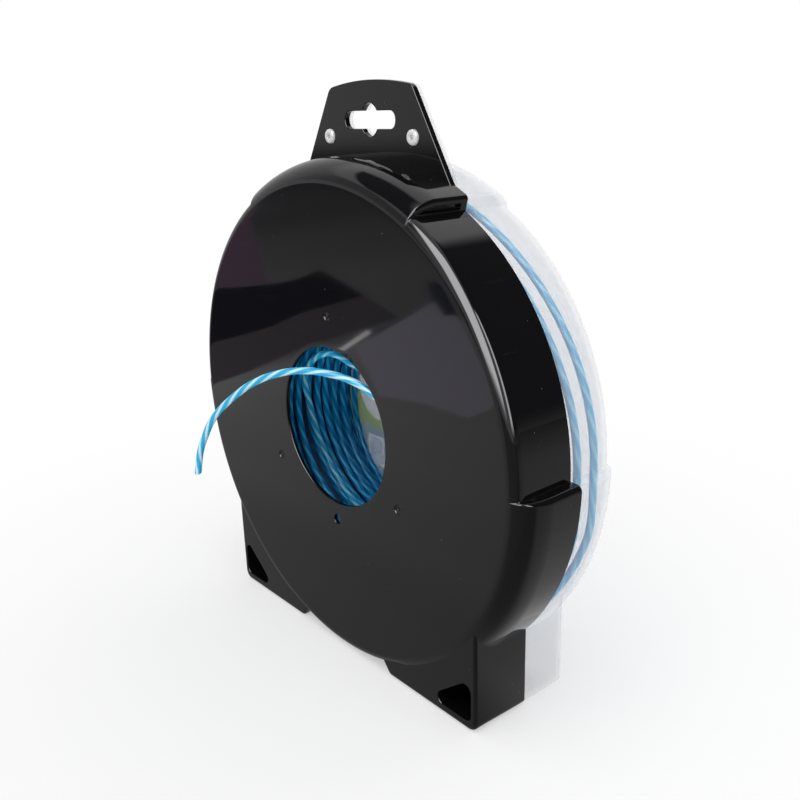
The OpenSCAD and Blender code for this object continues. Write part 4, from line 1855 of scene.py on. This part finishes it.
@dataclass(frozen=True)
class Studio:
    """Camera, floor, lamps and cards, with lengths in metres and angles in degrees."""

    azimuth: float = 50.14
    elevation: float = 18.24
    roll: float = -1.63
    distance: float = 0.3913
    target: tuple[float, float, float] = (0.01148, 0.0029, 0.1151)
    focal_pixels: float = 899.79
    frame_pixels: float = 800.0
    sensor: float = 36.0
    floor_size: float = 6.0
    floor_z: float = -0.0002
    lit_reach: tuple[float, float] = (0.10, 0.36)
    white_share: tuple[float, float] = (0.45, 1.0)
    mirrored_light: float = 1.9
    ambient: float = 0.60
    lamps: tuple[Lamp, ...] = (
        Lamp("lamp_above", (0.15, -0.35, 1.1), (0.9, 0.9), 5.0),
        Lamp("lamp_right", (1.0, 0.25, 0.6), (0.7, 0.7), 1.2),
        Lamp("lamp_behind", (0.1, 1.1, 0.5), (0.9, 0.7), 2.5),
        Lamp("lamp_front", (-0.1, -0.75, 0.12), (0.3, 0.3), 0.6),
    )
    cards: tuple[Card, ...] = (
        Card("box_front",
             ((0.05, -1.25, 0.14), (0.95, -0.75, 0.14), (0.60, 0.10, 2.1), (-0.16, -0.30, 2.1)),
             (11.0, 11.0, 11.4), 0.14),
        Card("strip_right",
             ((0.70, -0.22, 0.12), (0.70, -0.03, 0.12), (0.70, -0.03, 0.95), (0.70, -0.22, 0.95)),
             (9.0, 9.0, 9.3), 0.12),
        Card("flag_right",
             ((-0.04, 0.80, 0.0), (1.00, -0.35, 0.0), (1.00, -0.35, 1.4), (-0.04, 0.80, 1.4)),
             (0.05, 0.05, 0.055), 0.12),
        Card("flag_above",
             ((-1.3, -1.3, 1.6), (-0.14, -1.3, 1.6), (-0.10, 0.3, 1.6), (-1.1, 0.3, 1.6)),
             (0.08, 0.08, 0.09), 0.12),
        Card("flag_left",
             ((-1.3, -0.9, -0.2), (-0.9, 1.5, -0.2), (-0.9, 1.5, 1.4), (-1.3, -0.9, 1.4)),
             (0.62, 0.62, 0.63), 0.2),
        Card("flag_low",
             ((-2.8, -0.9, 0.05), (-0.9, -2.6, 0.05), (-0.9, -2.6, 0.75), (-2.8, -0.9, 0.75)),
             (0.68, 0.65, 0.67), 0.16),
        Card("flag_mid",
             ((-2.75, -0.85, 0.55), (-0.85, -2.55, 0.55), (-0.85, -2.55, 2.2), (-2.75, -0.85, 2.2)),
             (0.42, 0.42, 0.43), 0.16),
        Card("flag_floor",
             ((-2.9, -0.95, 0.0), (-0.95, -2.7, 0.0), (-0.95, -2.7, 0.3), (-2.9, -0.95, 0.3)),
             (0.03, 0.03, 0.03), 0.05),
        Card("paper_far",
             on_floor((-690, -440), (-1279, -796), (-1900, -1200), (-2600, -700), (-760, -330)),
             (0.34, 0.21, 0.32)),
        Card("paper_dark",
             on_floor((-800, -380), (-520, -255), (-522, -285), (-524, -313), (-532, -343),
                      (-555, -385), (-568, -470), (-639, -498), (-736, -535), (-715, -495),
                      (-711, -467), (-727, -437), height=0.0015), (0.02, 0.02, 0.04)),
        Card("paper_grey",
             on_floor((-520, -240), (-399, -195), (-411, -241), (-436, -299), (-461, -428),
                      (-568, -470), (-555, -385), (-532, -343), (-524, -313)),
             (0.21, 0.185, 0.205)),
        Card("paper_blue",
             on_floor((-399, -332), (-490, -501), (-325, -404), (-190, -319), (-184, -266),
                      (-235, -266), (-272, -258), height=0.002), (0.90, 0.86, 1.02)),
        Card("paper_edge",
             on_floor((-400, -314), (-440, -376), (-426, -368), (-392, -312), height=0.003),
             (3.5, 3.5, 3.6)),
        Card("paper_patch",
             on_floor((-563, -546), (-543, -556), (-414, -462), (-423, -450), (-493, -494),
                                     height=0.003), (0.05, 0.08, 0.12)),
    )

    def camera(self) -> bpy.types.Object:
        """Makes the camera: on a ray from its target, turned about that ray by the roll.

        Returns:
            The camera.
        """
        a, e, r = (math.radians(v) for v in (self.azimuth, self.elevation, self.roll))
        back = Vector((math.sin(a) * math.cos(e), -math.cos(a) * math.cos(e), math.sin(e)))
        right = Vector((math.cos(a), math.sin(a), 0))
        up = back.cross(right)
        across = right * math.cos(r) + up * math.sin(r)
        above = -right * math.sin(r) + up * math.cos(r)
        data = bpy.data.cameras.new("camera")
        data.sensor_width = self.sensor
        data.sensor_fit = "HORIZONTAL"
        data.lens = self.focal_pixels * self.sensor / self.frame_pixels
        data.clip_start = 0.01
        camera = bpy.data.objects.new("camera", data)
        turned = Matrix((across, above, back)).transposed().to_4x4()
        place = Vector(self.target) + back * self.distance
        camera.matrix_world = Matrix.Translation(place) @ turned
        bpy.context.scene.collection.objects.link(camera)
        bpy.context.scene.camera = camera
        return camera

    def floor(self) -> None:
        """Lays a pale floor that keeps the shadow and turns into plain white further off.

        The floor is lit by the lamps near the object, and past that it gives its own white, mixed
        by the distance. Mirrors see a floor that is dim near the object, white at the left of the
        front, and dimmer again far off, as one ramp across times another along. The dim tone near
        the object is a painted shadow of it.
        """
        half = self.floor_size / 2
        mesh = bpy.data.meshes.new("floor")
        mesh.from_pydata([(-half, -half, self.floor_z), (half, -half, self.floor_z),
                          (half, half, self.floor_z),
                          (-half, half, self.floor_z)], [], [(0, 1, 2, 3)])
        floor = bpy.data.objects.new("floor", mesh)
        bpy.context.scene.collection.objects.link(floor)
        nodes = Nodes.of_material("floor")
        place = nodes.place()
        lit = nodes.plastic((0.95, 0.95, 0.95, 1), 0.8, {"Specular IOR Level": 0.1})
        far = nodes.mapped(nodes.vector("LENGTH", place), self.lit_reach, self.white_share,
                           smooth=True)
        seen = nodes.blend(far, lit, nodes.glow((*WHITE, 1)))
        parts = nodes.split(place)
        # Tones that mirrors see: near the object they are a painted shadow of it.
        leftward = nodes.mapped(parts["X"], (0.3, -1.7))
        across = nodes.ramp(leftward, [
            (0.0, (0.22, 0.22, 0.22)), (0.09, (0.26, 0.26, 0.26)), (0.125, (0.50, 0.49, 0.50)),
            (0.30, (0.58, 0.57, 0.58)), (0.35, (0.66, 0.65, 0.65)), (0.37, (0.35, 0.33, 0.34)),
            (0.46, (0.36, 0.34, 0.35)), (0.60, (0.26, 0.25, 0.25)), (0.75, (0.16, 0.15, 0.155)),
            (1.0, (0.11, 0.10, 0.11)),
        ])
        along = nodes.ramp(nodes.mapped(parts["Y"], (-0.25, 0.05)), [
            (0.0, (0.57, 0.57, 0.57)), (0.17, (0.55, 0.55, 0.55)), (0.43, (0.47, 0.47, 0.47)),
            (0.60, (0.37, 0.37, 0.37)), (0.75, (0.34, 0.34, 0.34)), (0.88, (0.95, 0.95, 0.95)),
        ])
        mirrored_tone = nodes.glow(nodes.mix(1.0, across, along, "MULTIPLY"), self.mirrored_light)
        in_mirror = nodes.add("LightPath").outputs["Is Glossy Ray"]
        mesh.materials.append(nodes.finish(nodes.blend(in_mirror, seen, mirrored_tone)))

    def world(self) -> None:
        """Lights the scene evenly, with a white background for camera, mirror and clear rays."""
        nodes = Nodes(bpy.data.worlds.new("studio"))
        rays = nodes.add("LightPath").outputs
        seen = nodes.math("MAXIMUM", rays["Is Camera Ray"], rays["Is Glossy Ray"])
        seen = nodes.math("MAXIMUM", seen, rays["Is Transmission Ray"])
        soft, white = (nodes.add("Background",
                                 {"Color": (*WHITE, 1), "Strength": strength}).outputs[0]
                       for strength in (self.ambient, 1.0))
        bpy.context.scene.world = nodes.finish(nodes.blend(seen, soft, white), "OutputWorld")

    def build(self) -> None:
        """Sets the stage and its light."""
        bpy.context.scene.view_settings.view_transform = "Standard"
        self.floor()
        self.world()
        for card in self.cards:
            card.build()
        for lamp in self.lamps:
            lamp.build(self.target)


def main() -> None:
    """Builds the studio, the cord, the line, the shells and the label."""
    logging.basicConfig(level=logging.INFO, format="%(name)s: %(message)s")
    studio = Studio()
    studio.camera()
    case = CaseSizes()
    line = LineSizes(case)
    striped = TwistedLine().material()
    # Painted shade: a darker, bluer copy of the line for the turns inside the coil, which lie in
    # shade lit blue by their neighbours.
    painted_shade_line = TwistedLine("blue_line_painted_shade", (0.0, 0.23, 0.56), (0.04, 0.49, 0.76), 0.08).material()
    outer = TwistedLine("blue_line_outside", (0.02, 0.45, 0.80), (0.32, 0.74, 0.92), 0.2).material()
    end = FreeEnd(line).build()
    end.data.materials.append(striped)
    on_body(end, "front_half", ["line_free_end"])

    front = FrontShell(case)
    rear = RearShell(case, front.tab_t)
    core, wound = WoundCoil(line).build()
    frosted = [FrostedPlastic().material(),
               FrostedPlastic(name="frosted_pegs", clear_share=0.2).material()]
    # Painted light and shade: a copy of the line between the free end and the inner turns, for the
    # loose turn, which lies nearer the front and catches more light.
    loose = TwistedLine("blue_line_loose_painted_half_shade", (0.01, 0.40, 0.73), (0.30, 0.72, 0.90), 0.12).material()
    pieces = [
        # The core's very dark blue is painted shade between and below the turns.
        (core, [PaintedCoilShade().material()], "front_half", "blue_line", "line_coil"),
        (wound, [painted_shade_line], "front_half", "blue_line", "line_coil"),
        (InnerTurns(line).build(), [painted_shade_line, loose], "front_half", "blue_line", "line_inner_turns"),
        (OuterTurns(line).build(), [outer], "front_half", "blue_line", "line_outer_turns"),
        (front.build(), [BlackPlastic().material()], "front_half", "black_plastic", "front_shell"),
        (rear.build(), frosted, "rear_half", "frosted_plastic", "rear_shell"),
        (BackLabel(case, rear.depth).build(), [LabelFilm().material()], "rear_half", "label_film",
         "back_label"),
    ]
    for piece, finishes, body, slot, node in pieces:
        for finish in finishes:
            piece.data.materials.append(finish)
        on_body(piece, body, [node])
    studio.build()


if __name__ == "__main__":
    main()
